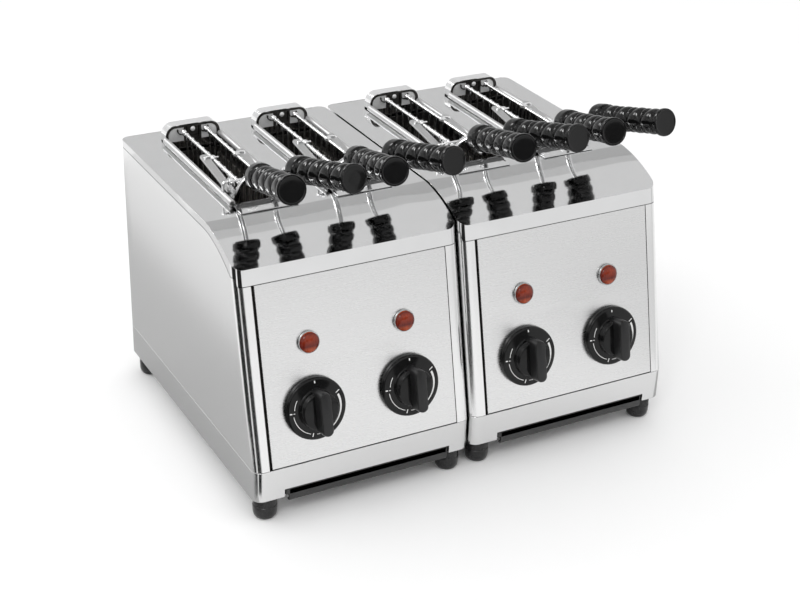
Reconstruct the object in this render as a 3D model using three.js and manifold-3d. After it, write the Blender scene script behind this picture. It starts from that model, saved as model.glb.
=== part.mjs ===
// Four-slot toaster: two identical two-slot modules side by side, each with wire toast tongs.
// Millimetres, +X to the right of someone facing the controls, +Y to the back, +Z up.
// Inside a module x is 0 on its middle, y is 0 at the foot of the front and z is 0 on the table.
import * as THREE from "three";
import { mergeVertices } from "three/addons/utils/BufferGeometryUtils.js";
import Module from "manifold-3d";

const wasm = await Module();
wasm.setup();

// Housing
const moduleWidth = 185;
const moduleDepth = 270;
const moduleGap = 2;
const footHeight = 20;
const footRadius = 10;
const footSoleShare = 0.8;
const footTopShare = 0.9;
const footInsetX = 13;
const footInsetY = 12.5;
const baseHeight = 26.5;
const panelLength = 143.9;
const panelTilt = THREE.MathUtils.degToRad(12.4);
const panelMargin = 12;
const panelThickness = 1.6;
const panelLedge = 6;
const hatchRim = 10;
const lipHeight = 12;
const coverRise = 30;
const coverRim = 6;
const flatStart = 86;
const cornerRadius = 8;
const wall = 2.5;
const seam = 0.5;
const fit = 0.3;
const overrun = 4;
const frontCurveShares = [0.49, 0.86];
const cornerSegments = 3;
const roundSides = 16;
const pinSides = 10;

// Slots
const slotSpacing = 80;
const slotFront = 92;
const slotRear = 20;
const slotInnerWidth = 44.6;
const skirtWall = 1.6;
const skirtDepth = 10;
const beadRadius = 2.6;
const rollRadius = 7.5;
const frontFlange = 6;
const flangeThickness = 1;
const bracketHeight = 15;
const bracketDepth = 10;
const bracketWall = 1.6;
const bracketPlate = 9.6;
const rivetRadius = 2;
const cageDepth = 106;
const cageWall = 1.2;
const elementWidth = 5;
const elementDepth = 1.4;
const elementCount = 6;
const railWidth = 5;

// Tongs
const rodRadius = 1.5;
const rodSpacing = 19.8;
const rodHeight = 10;
const rodInset = 26;
const rodBackGap = 5;
const eyeletRadius = 2.2;
const wireRadius = 0.9;
const wirePitch = 14.4;
const wireSides = 6;
const gridDepth = 115;
const toeLength = 7;
const barRadius = 1.15;
const barInset = 2;
const legBend = 2.5;
const springRadius = 2.1;
const springWire = 0.55;
const springPitch = 2;
const springCurls = 4;
const curlSteps = 8;
const curlSides = 5;
const armWidth = 7;
const armThickness = 1.5;
const armCorner = 3.2;
const armOffset = 15.5;
const armLength = 68;
const armRise = 10.5;
const eyeRadius = 3;
const eyeWidth = 3;
const eyeTabShare = 0.7;
const eyeOffset = 18;
const clipRadius = 2.4;
const clipWire = 0.9;
const clipPeg = 3.6;
const clipRun = 54.5;
const stemRadius = 2.2;
const stemRise = 14;
const stemSteps = 5;
const tangLength = 26;
const handleLength = 82;
const handleRadius = 10.8;
const handleLobe = 10.1;
const handleWaist = 8.6;
const handleLobes = 5;
const handleCap = 4;
const handleMouthShare = 0.8;
const handleCapShare = 0.3;
const handleSpread = 15.4;
const handleReach = 44;
const handleClimb = 34.6;
const handleRise = THREE.MathUtils.degToRad(15);
const handleSplay = THREE.MathUtils.degToRad(6.2);

// Controls
const knobRadius = 24.5;
const knobSkirt = 5.5;
const knobHub = 15;
const knobHubHeight = 12.5;
const knobHubEdge = 1;
const knobSkirtEdge = 2;
const gripWidth = 9;
const gripLength = 36;
const gripHeight = 24;
const gripCorner = 4.2;
const knobHeight = 41.5;
const knobGap = 0.6;
const shaftRadius = 3;
const shaftReach = 10;
const timerSize = 38;
const timerDepth = 30;
const timerCollar = 9;
const lampHeight = 93;
const lampRadius = 8.8;
const lampRim = 2;
const lampBarrel = 6.2;
const lampLens = 6.8;
const lampDome = 4.2;
const lampBezelEdge = 1;
const lampDomeShares = [1 / 3, 0.8];
const lampDepth = 15;

// Crumb tray, gland and join
const trayWidth = 141;
const trayOffset = 3;
const trayRear = 35;
const trayDepth = 5.6;
const traySheet = 1;
const trayLipDrop = 5;
const trayLipSheet = 1.5;
const trayLedge = 5;
const glandRadius = 9;
const glandFlange = 3;
const glandShoulder = 1;
const glandNeck = 6;
const glandBore = 3.6;
const glandReach = 9;
const glandHeight = 36;
const joinLength = 60;
const joinWidth = 24;
const joinThickness = 2;

// Sizes worked out from the ones above
const half = moduleWidth / 2;
const bodyFoot = footHeight + baseHeight;
const panelRise = panelLength * Math.cos(panelTilt);
const panelTop = bodyFoot + panelRise;
const frontAt = (z) => (z - bodyFoot) * Math.tan(panelTilt);
const creaseTop = panelTop + lipHeight;
const coverTop = panelTop + coverRise;
const slotBack = moduleDepth - slotRear;
const beadHeight = coverTop + beadRadius;
const beadOffset = (slotInnerWidth + skirtWall * 2) / 2;
const rodTop = coverTop + rodHeight;
const rodBack = slotBack - bracketDepth - rodBackGap;
const rodFront = slotFront + rodInset;
const rodLength = rodBack - rodFront;
const barRun = rodFront + barInset;
const barTop = rodTop + rodRadius + fit + barRadius;
const eyeBore = barRadius + fit * 2;
const armTop = coverTop + armThickness;
const armFront = rodFront - stemRadius * 2;
const skirtFoot = coverTop - skirtDepth;
const frameOuter = slotInnerWidth / 2 + skirtWall;
const trayLength = moduleDepth - trayRear;
const glandAt = bodyFoot + glandHeight;
const columns = [-slotSpacing / 2, slotSpacing / 2];

const finishes = {
  polished: { color: 0xd9dbdc, roughness: 0.12, metalness: 1 },
  brushed: { color: 0xc4c6c7, roughness: 0.34, metalness: 1 },
  wire: { color: 0xcfd1d2, roughness: 0.22, metalness: 1 },
  black: { color: 0x121213, roughness: 0.22, metalness: 0 },
  tray: { color: 0x101010, roughness: 0.5, metalness: 0.2 },
  rubber: { color: 0x1c1c1d, roughness: 0.75, metalness: 0 },
  dark: { color: 0x4a4744, roughness: 0.6, metalness: 0.6 },
  lamp: { color: 0xe8431c, roughness: 0.15, metalness: 0 },
};

function piece(name, geometry, finish) {
  const mesh = new THREE.Mesh(geometry, new THREE.MeshStandardMaterial(finishes[finish]));
  mesh.name = name;
  return mesh;
}

// Closed meshes become solids here, and solids become meshes again.
function solid(geometry) {
  const bare = geometry.clone();
  bare.deleteAttribute("normal");
  bare.deleteAttribute("uv");
  const welded = mergeVertices(bare);
  const vertProperties = Float32Array.from(welded.attributes.position.array);
  const triVerts = Uint32Array.from(welded.index.array);
  return new wasm.Manifold(new wasm.Mesh({ numProp: 3, vertProperties, triVerts }));
}

function skin(body) {
  const mesh = body.getMesh();
  const geometry = new THREE.BufferGeometry();
  geometry.setAttribute("position", new THREE.BufferAttribute(mesh.vertProperties, 3));
  geometry.setIndex(new THREE.BufferAttribute(mesh.triVerts, 1));
  return geometry;
}

const join = (bodies) => bodies.reduce((sum, body) => sum.add(body));

// A box given by its low and high corners.
function block(low, high) {
  const geometry = new THREE.BoxGeometry(high[0] - low[0], high[1] - low[1], high[2] - low[2]);
  geometry.translate((low[0] + high[0]) / 2, (low[1] + high[1]) / 2, (low[2] + high[2]) / 2);
  return solid(geometry);
}

// A round bar between two points.
function bar(from, to, radius, sides) {
  const start = new THREE.Vector3(...from);
  const run = new THREE.Vector3(...to).sub(start);
  const geometry = new THREE.CylinderGeometry(radius, radius, run.length(), sides);
  const upright = new THREE.Vector3(0, 1, 0);
  const turn = new THREE.Quaternion().setFromUnitVectors(upright, run.clone().normalize());
  geometry.applyQuaternion(turn);
  geometry.translate(...start.addScaledVector(run, 1 / 2).toArray());
  return solid(geometry);
}

// A wire bent at each of its points.
class BentWire extends THREE.Curve {
  constructor(points) {
    super();
    this.points = points;
  }

  getPoint(share, target = new THREE.Vector3()) {
    const place = Math.min(Math.max(share, 0), 1) * (this.points.length - 1);
    const i = Math.min(Math.floor(place), this.points.length - 2);
    return target.lerpVectors(this.points[i], this.points[i + 1], place - i);
  }

  getUtoTmapping(share) {
    return share;
  }
}

// A round wire swept through points.
function sweep(points, radius, sides) {
  const section = Array.from({ length: sides }, (_, i) => {
    const angle = (i / sides) * Math.PI * 2;
    return new THREE.Vector2(radius * Math.cos(angle), radius * Math.sin(angle));
  });
  const options = { steps: points.length - 1, extrudePath: new BentWire(points), bevelEnabled: false };
  return solid(new THREE.ExtrudeGeometry(new THREE.Shape(section), options));
}

// A turned form about Z: the profile is pairs of radius and height.
function turned(profile, sides) {
  const points = profile.map(([radius, height]) => new THREE.Vector2(radius, height));
  return new THREE.LatheGeometry(points, sides).rotateX(Math.PI / 2);
}

// An outline in X and Y with rounded corners, raised along Z.
function roundedPrism(low, high, radius, segments) {
  const shape = new THREE.Shape();
  const [left, front, bottom] = low;
  const [right, back, top] = high;
  shape.absarc(left + radius, front + radius, radius, Math.PI, Math.PI * 1.5, false);
  shape.absarc(right - radius, front + radius, radius, Math.PI * 1.5, Math.PI * 2, false);
  shape.absarc(right - radius, back - radius, radius, 0, Math.PI / 2, false);
  shape.absarc(left + radius, back - radius, radius, Math.PI / 2, Math.PI, false);
  const geometry = new THREE.ExtrudeGeometry(shape, {
    depth: top - bottom,
    bevelEnabled: false,
    curveSegments: segments,
  });
  return geometry.translate(0, 0, bottom);
}

// Turns an outline drawn flat so that it stands in Y and Z and is raised along X.
const sideways = new THREE.Matrix4().makeBasis(
  new THREE.Vector3(0, 1, 0),
  new THREE.Vector3(0, 0, 1),
  new THREE.Vector3(1, 0, 0),
);

// An outline in Y and Z, raised along X from one side to the other.
function sideProfile(points, left, right) {
  const shape = new THREE.Shape(points.map(([y, z]) => new THREE.Vector2(y, z)));
  const geometry = new THREE.ExtrudeGeometry(shape, { depth: right - left, bevelEnabled: false });
  return solid(geometry.applyMatrix4(sideways).translate(left, 0, 0));
}

// A flat wire grid upright in Y and Z: its frame and cross wires in one, as thick as a wire.
function wireGrid(across, low, high, pitch, wire) {
  const left = across - wire / 2;
  const right = across + wire / 2;
  const frame = block([left, ...low], [right, ...high]);
  const count = Math.floor((high[0] - low[0] - wire) / pitch);
  const gaps = Array.from({ length: count }, (_, i) => {
    const front = low[0] + wire + i * pitch;
    const back = i === count - 1 ? high[0] - wire : front + pitch - wire;
    return block([left - overrun, front, low[1] + wire], [right + overrun, back, high[1] - wire]);
  });
  return frame.subtract(join(gaps));
}

// The housing's outline with its front leaning back, drawn in by an inset.
function leaningPrism(inset, bottom, top) {
  const geometry = roundedPrism(
    [-half + inset, inset, bottom],
    [half - inset, moduleDepth - inset, top],
    Math.max(cornerRadius - inset, wall),
    cornerSegments,
  );
  const place = geometry.attributes.position;
  for (let i = 0; i < place.count; i += 1) {
    const stay = 1 - place.getY(i) / moduleDepth;
    place.setY(i, place.getY(i) + frontAt(place.getZ(i)) * stay);
  }
  return solid(geometry);
}

// Moves a solid made flat against the panel (x across, y up the panel, z out of it) to its place.
const panelPose = new THREE.Matrix4()
  .makeTranslation(0, 0, bodyFoot)
  .multiply(new THREE.Matrix4().makeRotationX(Math.PI / 2 - panelTilt));
const onPanel = (geometry) => geometry.clone().applyMatrix4(panelPose);

// The cover's top line from its front crease to its flat, as a curve in Y and Z.
function coverLine(drop) {
  const creaseAt = frontAt(creaseTop);
  const start = new THREE.Vector2(creaseAt + drop, creaseTop - drop);
  const end = new THREE.Vector2(flatStart, coverTop - drop);
  const middle = new THREE.Vector2(
    start.x + (end.x - start.x) * frontCurveShares[0],
    start.y + (end.y - start.y) * frontCurveShares[1],
  );
  const curve = new THREE.QuadraticBezierCurve(start, middle, end);
  return curve.getPoints(cornerSegments * 2).map((point) => [point.x, point.y]);
}

// The line that parts the cover from the body under it.
function partingLine(gap) {
  const lipBack = frontAt(panelTop) + wall + gap;
  return [[lipBack, panelTop - gap], ...coverLine(coverRim + gap)];
}

const trayEdges = (room) => [trayOffset - trayWidth / 2 - room, trayOffset + trayWidth / 2 + room];

function makeBase(side) {
  const floor = footHeight + wall;
  const outerLow = [-half, 0, footHeight];
  const outerHigh = [half, moduleDepth, bodyFoot - seam];
  const innerLow = [-half + wall, wall, floor];
  const innerHigh = [half - wall, moduleDepth - wall, bodyFoot + overrun];
  const outer = solid(roundedPrism(outerLow, outerHigh, cornerRadius, cornerSegments));
  const inside = solid(roundedPrism(innerLow, innerHigh, cornerRadius - wall, cornerSegments));
  const [left, right] = trayEdges(fit * 2);
  const trayTop = floor + trayDepth;
  const trayBack = trayLength + fit * 3;
  const channel = block([left, -overrun, footHeight + traySheet], [right, trayBack, trayTop]);
  const hatch = block(
    [left + trayLedge, hatchRim, footHeight - overrun],
    [right - trayLedge, trayLength - hatchRim, trayTop],
  );
  const mouthTop = footHeight + trayDepth + traySheet;
  const mouth = block([left, -overrun, footHeight - overrun], [right, wall * 2, mouthTop]);
  const shell = outer.subtract(join([inside, channel, hatch, mouth]));
  return piece(`base_${side}`, skin(shell), "brushed");
}

function makeTray(side) {
  const [left, right] = trayEdges(0);
  const bottom = footHeight + traySheet + fit;
  const top = bottom + trayDepth - fit * 2;
  const pan = block([left, fit, bottom], [right, trayLength, top]);
  const inside = block(
    [left + traySheet, traySheet + fit, bottom + traySheet],
    [right - traySheet, trayLength - traySheet, top + overrun],
  );
  const lip = block([left, fit, footHeight - trayLipDrop], [right, fit + trayLipSheet, top]);
  return piece(`crumb_tray_${side}`, skin(pan.subtract(inside).add(lip)), "tray");
}

function makeBody(side) {
  const cut = moduleDepth + overrun;
  const foot = [[-overrun, bodyFoot], [cut, bodyFoot], [cut, coverTop - coverRim - seam]];
  const top = [...partingLine(seam).reverse(), [-overrun, panelTop - seam]];
  const outer = leaningPrism(0, bodyFoot, coverTop).intersect(sideProfile([...foot, ...top], -half, half));
  const shell = outer.subtract(leaningPrism(wall, bodyFoot - overrun, coverTop + overrun));
  const ledge = leaningPrism(0, bodyFoot, panelTop - seam).intersect(panelFrame());
  const recess = panelSheet(seam, panelThickness + fit, overrun);
  const opening = panelSheet(-panelLedge, panelThickness + wall * 3, overrun);
  const body = shell.add(ledge).subtract(join([recess, opening]));
  if (side === "right") {
    return piece(`body_${side}`, skin(body), "brushed");
  }
  const inlet = bar([0, moduleDepth - wall * 2, glandAt], [0, cut, glandAt], glandNeck + fit, roundSides);
  return piece(`body_${side}`, skin(body.subtract(inlet)), "brushed");
}

// A sheet lying in the panel's plane: grown by room at its edges, deep behind the face, proud before it.
function panelSheet(room, deep, proud) {
  const across = half - panelMargin + room;
  const sheet = new THREE.BoxGeometry(across * 2, panelLength + room * 2, deep + proud);
  sheet.translate(0, panelLength / 2, (proud - deep) / 2);
  return solid(onPanel(sheet));
}

// The flange behind the panel that carries it.
const panelFrame = () => panelSheet(panelLedge, panelThickness + wall + fit, 0);

function makePanel(side) {
  const holes = columns.flatMap((x) => [
    panelPin(x, knobHeight, shaftRadius + fit, -panelThickness * 2, overrun),
    panelPin(x, lampHeight, lampBarrel + fit, -panelThickness * 2, overrun),
  ]);
  const sheet = panelSheet(-seam, panelThickness, 0).subtract(join(holes));
  return piece(`front_panel_${side}`, skin(sheet), "brushed");
}

// A round pin square to the panel, between two heights over its face.
function panelPin(x, up, radius, from, to) {
  const pin = new THREE.CylinderGeometry(radius, radius, to - from, pinSides);
  return solid(onPanel(pin.rotateX(Math.PI / 2).translate(x, up, (from + to) / 2)));
}

function makeCover(side) {
  const cut = moduleDepth + overrun;
  const lip = [[-overrun, panelTop], [-overrun, creaseTop]];
  const crest = [...coverLine(0), [cut, coverTop], [cut, coverTop - coverRim]];
  const envelope = sideProfile([...lip, ...crest, ...partingLine(0).reverse()], -half, half);
  const outer = leaningPrism(0, bodyFoot, coverTop).intersect(envelope);
  const hollowTop = [...coverLine(wall), [moduleDepth - wall, coverTop - wall]];
  const hollowLow = panelTop - overrun;
  const hollowFoot = [[moduleDepth - wall, hollowLow], [frontAt(panelTop) + wall, hollowLow]];
  const hollow = sideProfile([...hollowTop, ...hollowFoot], -half + wall, half - wall);
  const room = frameOuter + fit;
  const mouths = columns.map((x) =>
    block([x - room, slotFront - fit, panelTop], [x + room, slotBack + fit, coverTop + overrun]),
  );
  return piece(`cover_${side}`, skin(outer.subtract(hollow).subtract(join(mouths))), "polished");
}

function makeKnob(number, x) {
  const profile = [
    [0, knobHubHeight],
    [knobHub - knobHubEdge, knobHubHeight],
    [knobHub, knobHubHeight - knobHubEdge],
    [knobHub + knobHubEdge, knobSkirt],
    [knobRadius - knobSkirtEdge, knobSkirt - knobHubEdge],
    [knobRadius, knobSkirt / 2],
    [knobRadius, 0],
    [0, 0],
  ];
  const skirt = solid(turned(profile.reverse(), roundSides));
  const gripLow = [-gripWidth / 2, -gripLength / 2, knobSkirt / 2];
  const gripHigh = [gripWidth / 2, gripLength / 2, gripHeight];
  const grip = solid(roundedPrism(gripLow, gripHigh, gripCorner, 2));
  const bore = block(
    [-shaftRadius - fit, -shaftRadius - fit, -overrun],
    [shaftRadius + fit, shaftRadius + fit, shaftReach + fit],
  );
  const knob = skin(skirt.add(grip).subtract(bore)).translate(x, knobHeight, knobGap);
  return piece(`knob_${number}`, onPanel(knob), "black");
}

function makeTimer(number, x) {
  const back = -panelThickness - wall - fit * 2;
  const box = new THREE.BoxGeometry(timerSize, timerSize, timerDepth);
  box.translate(x, knobHeight, back - timerDepth / 2);
  const collar = panelPin(x, knobHeight, timerCollar, back - fit, -panelThickness - fit);
  const shaft = panelPin(x, knobHeight, shaftRadius, back - fit, shaftReach + knobGap);
  return piece(`timer_${number}`, skin(join([solid(onPanel(box)), collar, shaft])), "dark");
}

function makeLamp(number, x) {
  const profile = [
    [0, -lampDepth],
    [lampBarrel, -lampDepth],
    [lampBarrel, fit],
    [lampRadius, fit],
    [lampRadius, lampRim],
    [lampLens, lampRim + lampBezelEdge],
    [lampLens, lampRim + lampBezelEdge + lampDome * lampDomeShares[0]],
    [lampLens * lampDomeShares[1], lampRim + lampDome * lampDomeShares[1]],
    [0, lampRim + lampDome],
  ];
  const body = turned(profile, roundSides - 4).translate(x, lampHeight, 0);
  return piece(`lamp_${number}`, onPanel(body), "lamp");
}

function makeFoot(number, x, y) {
  const profile = [
    [0, 0],
    [footRadius * footSoleShare, 0],
    [footRadius, footRadius * (1 - footSoleShare)],
    [footRadius * footTopShare, footHeight - fit],
    [0, footHeight - fit],
  ];
  return piece(`foot_${number}`, turned(profile, pinSides).translate(x, y, 0), "rubber");
}

function makeGland() {
  const profile = [
    [glandBore, -wall * 2],
    [glandNeck, -wall * 2],
    [glandNeck, fit],
    [glandRadius, fit],
    [glandRadius, glandFlange],
    [glandNeck + glandShoulder, glandFlange + glandShoulder],
    [glandNeck, glandReach],
    [glandBore, glandReach],
    [glandBore, -wall * 2],
  ];
  const body = turned(profile, pinSides).rotateX(-Math.PI / 2).translate(0, moduleDepth, glandAt);
  return piece("cord_gland", body, "rubber");
}

function makeSlotFrame(number, x) {
  const left = x - frameOuter;
  const right = x + frameOuter;
  const inner = slotInnerWidth / 2;
  const foot = coverTop + fit;
  const flangeTop = foot + flangeThickness;
  const skirt = block([left, slotFront, skirtFoot], [right, slotBack, flangeTop]);
  const hole = block(
    [x - inner, slotFront - overrun, skirtFoot - overrun],
    [x + inner, slotBack - skirtWall, coverTop + overrun],
  );
  const beadAt = beadHeight + fit;
  const beads = [x - beadOffset, x + beadOffset].map((across) =>
    bar(
      [across, slotFront + rollRadius + beadRadius, beadAt],
      [across, slotBack - bracketDepth, beadAt],
      beadRadius,
      pinSides,
    ),
  );
  const rollAt = [slotFront + rollRadius, coverTop + beadRadius + fit - rollRadius];
  const roll = bar([left, ...rollAt], [right, ...rollAt], rollRadius, pinSides + 4);
  const flange = block([left, slotFront - frontFlange, foot], [right, slotFront + rollRadius, flangeTop]);
  const parts = [skirt.subtract(hole), ...beads, roll, flange, makeBracket(x)];
  return piece(`slot_frame_${number}`, skin(join(parts)), "polished");
}

// The bracket behind a slot: two hooded ears with the rods' plate between them.
function makeBracket(x) {
  const foot = coverTop + fit;
  const low = foot + flangeThickness;
  const high = coverTop + bracketHeight;
  const front = slotBack - bracketDepth;
  const round = bracketHeight / 2;
  const outline = roundedArch([x - frameOuter, x + frameOuter], [foot, high], [front, slotBack], round);
  const near = bracketPlate / 2;
  const far = frameOuter - bracketWall;
  const hollows = [[x - far, x - near], [x + near, x + far]].map((sides) => {
    const depth = [front - overrun, slotBack - bracketWall];
    return roundedArch(sides, [low, high - bracketWall], depth, round - bracketWall);
  });
  const rivetFront = [x, front - fit * 2, rodTop - fit];
  const rivet = bar(rivetFront, [x, front + fit, rodTop - fit], rivetRadius, pinSides);
  return outline.subtract(join(hollows)).add(rivet);
}

// An arch with rounded upper corners, upright in X and Z, from front to back.
function roundedArch([left, right], [foot, top], [front, back], radius) {
  const shape = new THREE.Shape();
  shape.moveTo(left, foot);
  shape.lineTo(right, foot);
  shape.absarc(right - radius, top - radius, radius, 0, Math.PI / 2, false);
  shape.absarc(left + radius, top - radius, radius, Math.PI / 2, Math.PI, false);
  const options = { depth: back - front, bevelEnabled: false, curveSegments: 2 };
  const arch = new THREE.ExtrudeGeometry(shape, options);
  return solid(arch.rotateX(Math.PI / 2).translate(0, back, 0));
}

// The open box under a slot, with its rows of heating elements and a drop for crumbs.
function makeCage(number, x) {
  const inner = frameOuter - cageWall;
  const top = skirtFoot - fit;
  const foot = top - cageDepth;
  const front = slotFront + rollRadius * 2 + fit;
  const back = slotBack - bracketDepth / 2;
  const middle = (front + back) / 2;
  const envelope = block([x - frameOuter, front, foot], [x + frameOuter, back, top]);
  const inside = block(
    [x - inner, front + cageWall, foot + cageWall],
    [x + inner, back - cageWall, top + overrun],
  );
  const drop = block(
    [x - inner + trayLedge, front + trayLedge, foot - overrun],
    [x + inner - trayLedge, back - trayLedge, foot + overrun],
  );
  const rail = block(
    [x - inner, middle - railWidth / 2, foot],
    [x + inner, middle + railWidth / 2, foot + cageWall],
  );
  const pitch = (back - front) / elementCount;
  const elements = [x - inner, x + inner].flatMap((across) =>
    Array.from({ length: elementCount }, (_, i) => {
      const y = front + pitch * (i + 1 / 2);
      return block(
        [across - elementDepth, y - elementWidth / 2, foot + elementWidth],
        [across + elementDepth, y + elementWidth / 2, top - elementWidth],
      );
    }),
  );
  const cage = join([envelope.subtract(join([inside, drop])), rail, ...elements]);
  return piece(`heater_cage_${number}`, skin(cage.intersect(envelope)), "dark");
}

// The bar across a slot with its two legs on the side beads, and the spring wound on it.
function makeBridge(number, x) {
  const foot = beadHeight + beadRadius + fit * 2;
  const bendInset = legBend * (1 - Math.SQRT1_2);
  const leftLeg = [
    [-beadOffset, foot],
    [-beadOffset, barTop - legBend],
    [-beadOffset + bendInset, barTop - bendInset],
    [-beadOffset + legBend, barTop],
  ];
  const rightLeg = leftLeg.map(([across, z]) => [-across, z]).reverse();
  const points = [...leftLeg, ...rightLeg].map(([across, z]) => new THREE.Vector3(x + across, barRun, z));
  return piece(`tong_bridge_${number}`, skin(sweep(points, barRadius, wireSides).add(makeSpring(x))), "wire");
}

// The points of a coil round the bar, whose ends turn in against the bar.
function springPoints(x) {
  const steps = springCurls * curlSteps;
  return Array.from({ length: steps + 1 }, (_, i) => {
    const opened = Math.min(1, (Math.min(i, steps - i) * 2) / curlSteps);
    const radius = barRadius + (springRadius - barRadius) * opened;
    const angle = (i / curlSteps) * Math.PI * 2;
    const along = (i / steps - 1 / 2) * springCurls * springPitch;
    return new THREE.Vector3(x + along, barRun + radius * Math.cos(angle), barTop + radius * Math.sin(angle));
  });
}

const makeSpring = (x) => sweep(springPoints(x), springWire, curlSides);

// The least distance between the skins of two turns of the coil, measured on its points.
function leastSpringGap() {
  const points = springPoints(0);
  const gaps = points.flatMap((point, i) =>
    points.slice(i + curlSteps / 2).map((other) => point.distanceTo(other) - springWire * 2),
  );
  return Math.min(...gaps);
}

console.log(`least gap of a spring to itself: ${leastSpringGap().toFixed(2)} mm`);

// One jaw: a wire grid with its arm, pivot eye, clip and stem, on the left (-1) or right (1).
function makeJaw(number, x, turn) {
  const across = x + (turn * rodSpacing) / 2;
  const arm = x + turn * armOffset;
  const rodLine = [
    [across, rodBack],
    [across, rodFront],
    [arm, rodFront - stemRadius * 3],
  ].map(([along, y]) => new THREE.Vector3(along, y, rodTop));
  const rod = sweep(rodLine, rodRadius, wireSides);
  const eyelet = solid(new THREE.SphereGeometry(eyeletRadius, 6, 4).translate(across, rodBack, rodTop));
  const gridLow = [rodFront + fit, rodTop - gridDepth];
  const gridHigh = [rodBack, rodTop + wireRadius];
  const grid = wireGrid(across, gridLow, gridHigh, wirePitch, wireRadius * 2);
  const parts = [rod, eyelet, grid, ...makeToes(across, turn), makeArm(arm), makeClip(across, arm, turn)];
  parts.push(makeEye(x, turn), makeStem(x, turn));
  const side = turn < 0 ? "left" : "right";
  return piece(`tong_jaw_${side}_${number}`, skin(join(parts)), "wire");
}

// The short wires at a grid's foot that carry the toast, under every second cross wire.
function makeToes(across, turn) {
  const count = Math.floor(rodLength / wirePitch / 2);
  const tip = across - turn * toeLength;
  const foot = rodTop - gridDepth + fit;
  return Array.from({ length: count }, (_, i) => {
    const front = rodFront + wirePitch * (i * 2 + 1) + fit;
    const low = [Math.min(across, tip), front, foot];
    const high = [Math.max(across, tip), front + wireRadius * 2, foot + wireRadius * 2 - fit * 2];
    return block(low, high);
  });
}

// The flat arm, which climbs from the stem's root to the rod.
function makeArm(arm) {
  const low = [arm - armWidth / 2, 0, 0];
  const high = [arm + armWidth / 2, armLength, armThickness];
  const flat = roundedPrism(low, high, armCorner, 2);
  return solid(flat.rotateX(Math.asin(armRise / armLength)).translate(0, armFront, coverTop));
}

// The wire that goes round the rod and over it to the arm's rear end, which it ties to the rod.
function makeClip(across, arm, turn) {
  const at = rodFront + clipRun;
  const over = rodTop + rodRadius - fit;
  const collar = bar([across, at - clipWire, rodTop], [across, at + clipWire, rodTop], clipRadius, wireSides);
  return collar.add(bar([across - turn * clipPeg, at, over], [arm, at, over], clipWire, 4));
}

// The eye that turns on the bar, on a tab that stands on the arm.
function makeEye(x, turn) {
  const middle = x + turn * eyeOffset;
  const arm = x + turn * armOffset;
  const low = middle - eyeWidth / 2;
  const high = middle + eyeWidth / 2;
  const front = barRun - eyeRadius * eyeTabShare;
  const back = barRun + eyeRadius * eyeTabShare;
  const ring = bar([low, barRun, barTop], [high, barRun, barTop], eyeRadius, wireSides);
  const tab = block([low, front, coverTop], [high, back, barTop]);
  const reach = block([Math.min(low, arm), front, coverTop], [Math.max(high, arm), back, armTop]);
  const bore = bar([low - overrun, barRun, barTop], [high + overrun, barRun, barTop], eyeBore, wireSides);
  return join([ring, tab, reach]).subtract(bore);
}

// Where a handle's inner end is, and which way it points.
function handleLine(x, turn) {
  const start = new THREE.Vector3(
    x + turn * handleSpread,
    rodFront + fit - handleReach,
    coverTop + handleClimb,
  );
  const way = new THREE.Vector3(
    turn * Math.cos(handleRise) * Math.sin(handleSplay),
    -Math.cos(handleRise) * Math.cos(handleSplay),
    Math.sin(handleRise),
  );
  return { start, way };
}

// The bent stem from the arm up and forward into the handle, with its tang.
function makeStem(x, turn) {
  const { start, way } = handleLine(x, turn);
  const root = new THREE.Vector3(x + turn * armOffset, armFront, armTop - armThickness / 2);
  const rise = root.clone().setZ(root.z + stemRise).setY(root.y - stemRadius * 2);
  const lead = start.clone().addScaledVector(way, -tangLength);
  const bend = new THREE.CubicBezierCurve3(root, rise, lead, start);
  const tip = start.clone().addScaledVector(way, tangLength - fit * 2);
  return sweep([...bend.getPoints(stemSteps), tip], stemRadius, wireSides);
}

// From the first ring to the last, turns each ring of a turned form half a side further than the one
// before, so that its facets cross.
function crossed(geometry, rings, [first, last], sides) {
  const place = geometry.attributes.position;
  const axis = new THREE.Vector3(0, 0, 1);
  for (let i = 0; i < place.count; i += 1) {
    const step = THREE.MathUtils.clamp(i % rings, first, last) - first;
    const point = new THREE.Vector3().fromBufferAttribute(place, i);
    point.applyAxisAngle(axis, (step * Math.PI) / sides);
    place.setXYZ(i, point.x, point.y, point.z);
  }
  return geometry;
}

// A ribbed grip turned about its own axis, with a blind bore for the tang and a flat end cap.
function makeHandle(number, x, turn) {
  const ribbed = handleLength - handleCap;
  const pitch = ribbed / handleLobes;
  const profile = [
    [0, tangLength],
    [stemRadius + fit, tangLength],
    [stemRadius + fit, fit],
    [handleWaist * handleMouthShare, fit],
  ];
  const mouth = profile.length - 1;
  for (let i = 0; i < handleLobes; i += 1) {
    profile.push([i === 0 ? handleRadius : handleLobe, pitch * (i + 1 / 2)]);
    profile.push([handleWaist, pitch * (i + 1)]);
  }
  const neck = profile.length - 1;
  profile.push([handleRadius, ribbed + handleCap * handleCapShare]);
  profile.push([handleRadius, handleLength], [0, handleLength]);
  const { start, way } = handleLine(x, turn);
  const grip = crossed(turned(profile, pinSides), profile.length, [mouth, neck], pinSides);
  const lean = new THREE.Quaternion().setFromUnitVectors(new THREE.Vector3(0, 0, 1), way);
  grip.applyQuaternion(lean).translate(...start.toArray());
  const side = turn < 0 ? "left" : "right";
  return piece(`tong_handle_${side}_${number}`, grip, "black");
}

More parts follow.
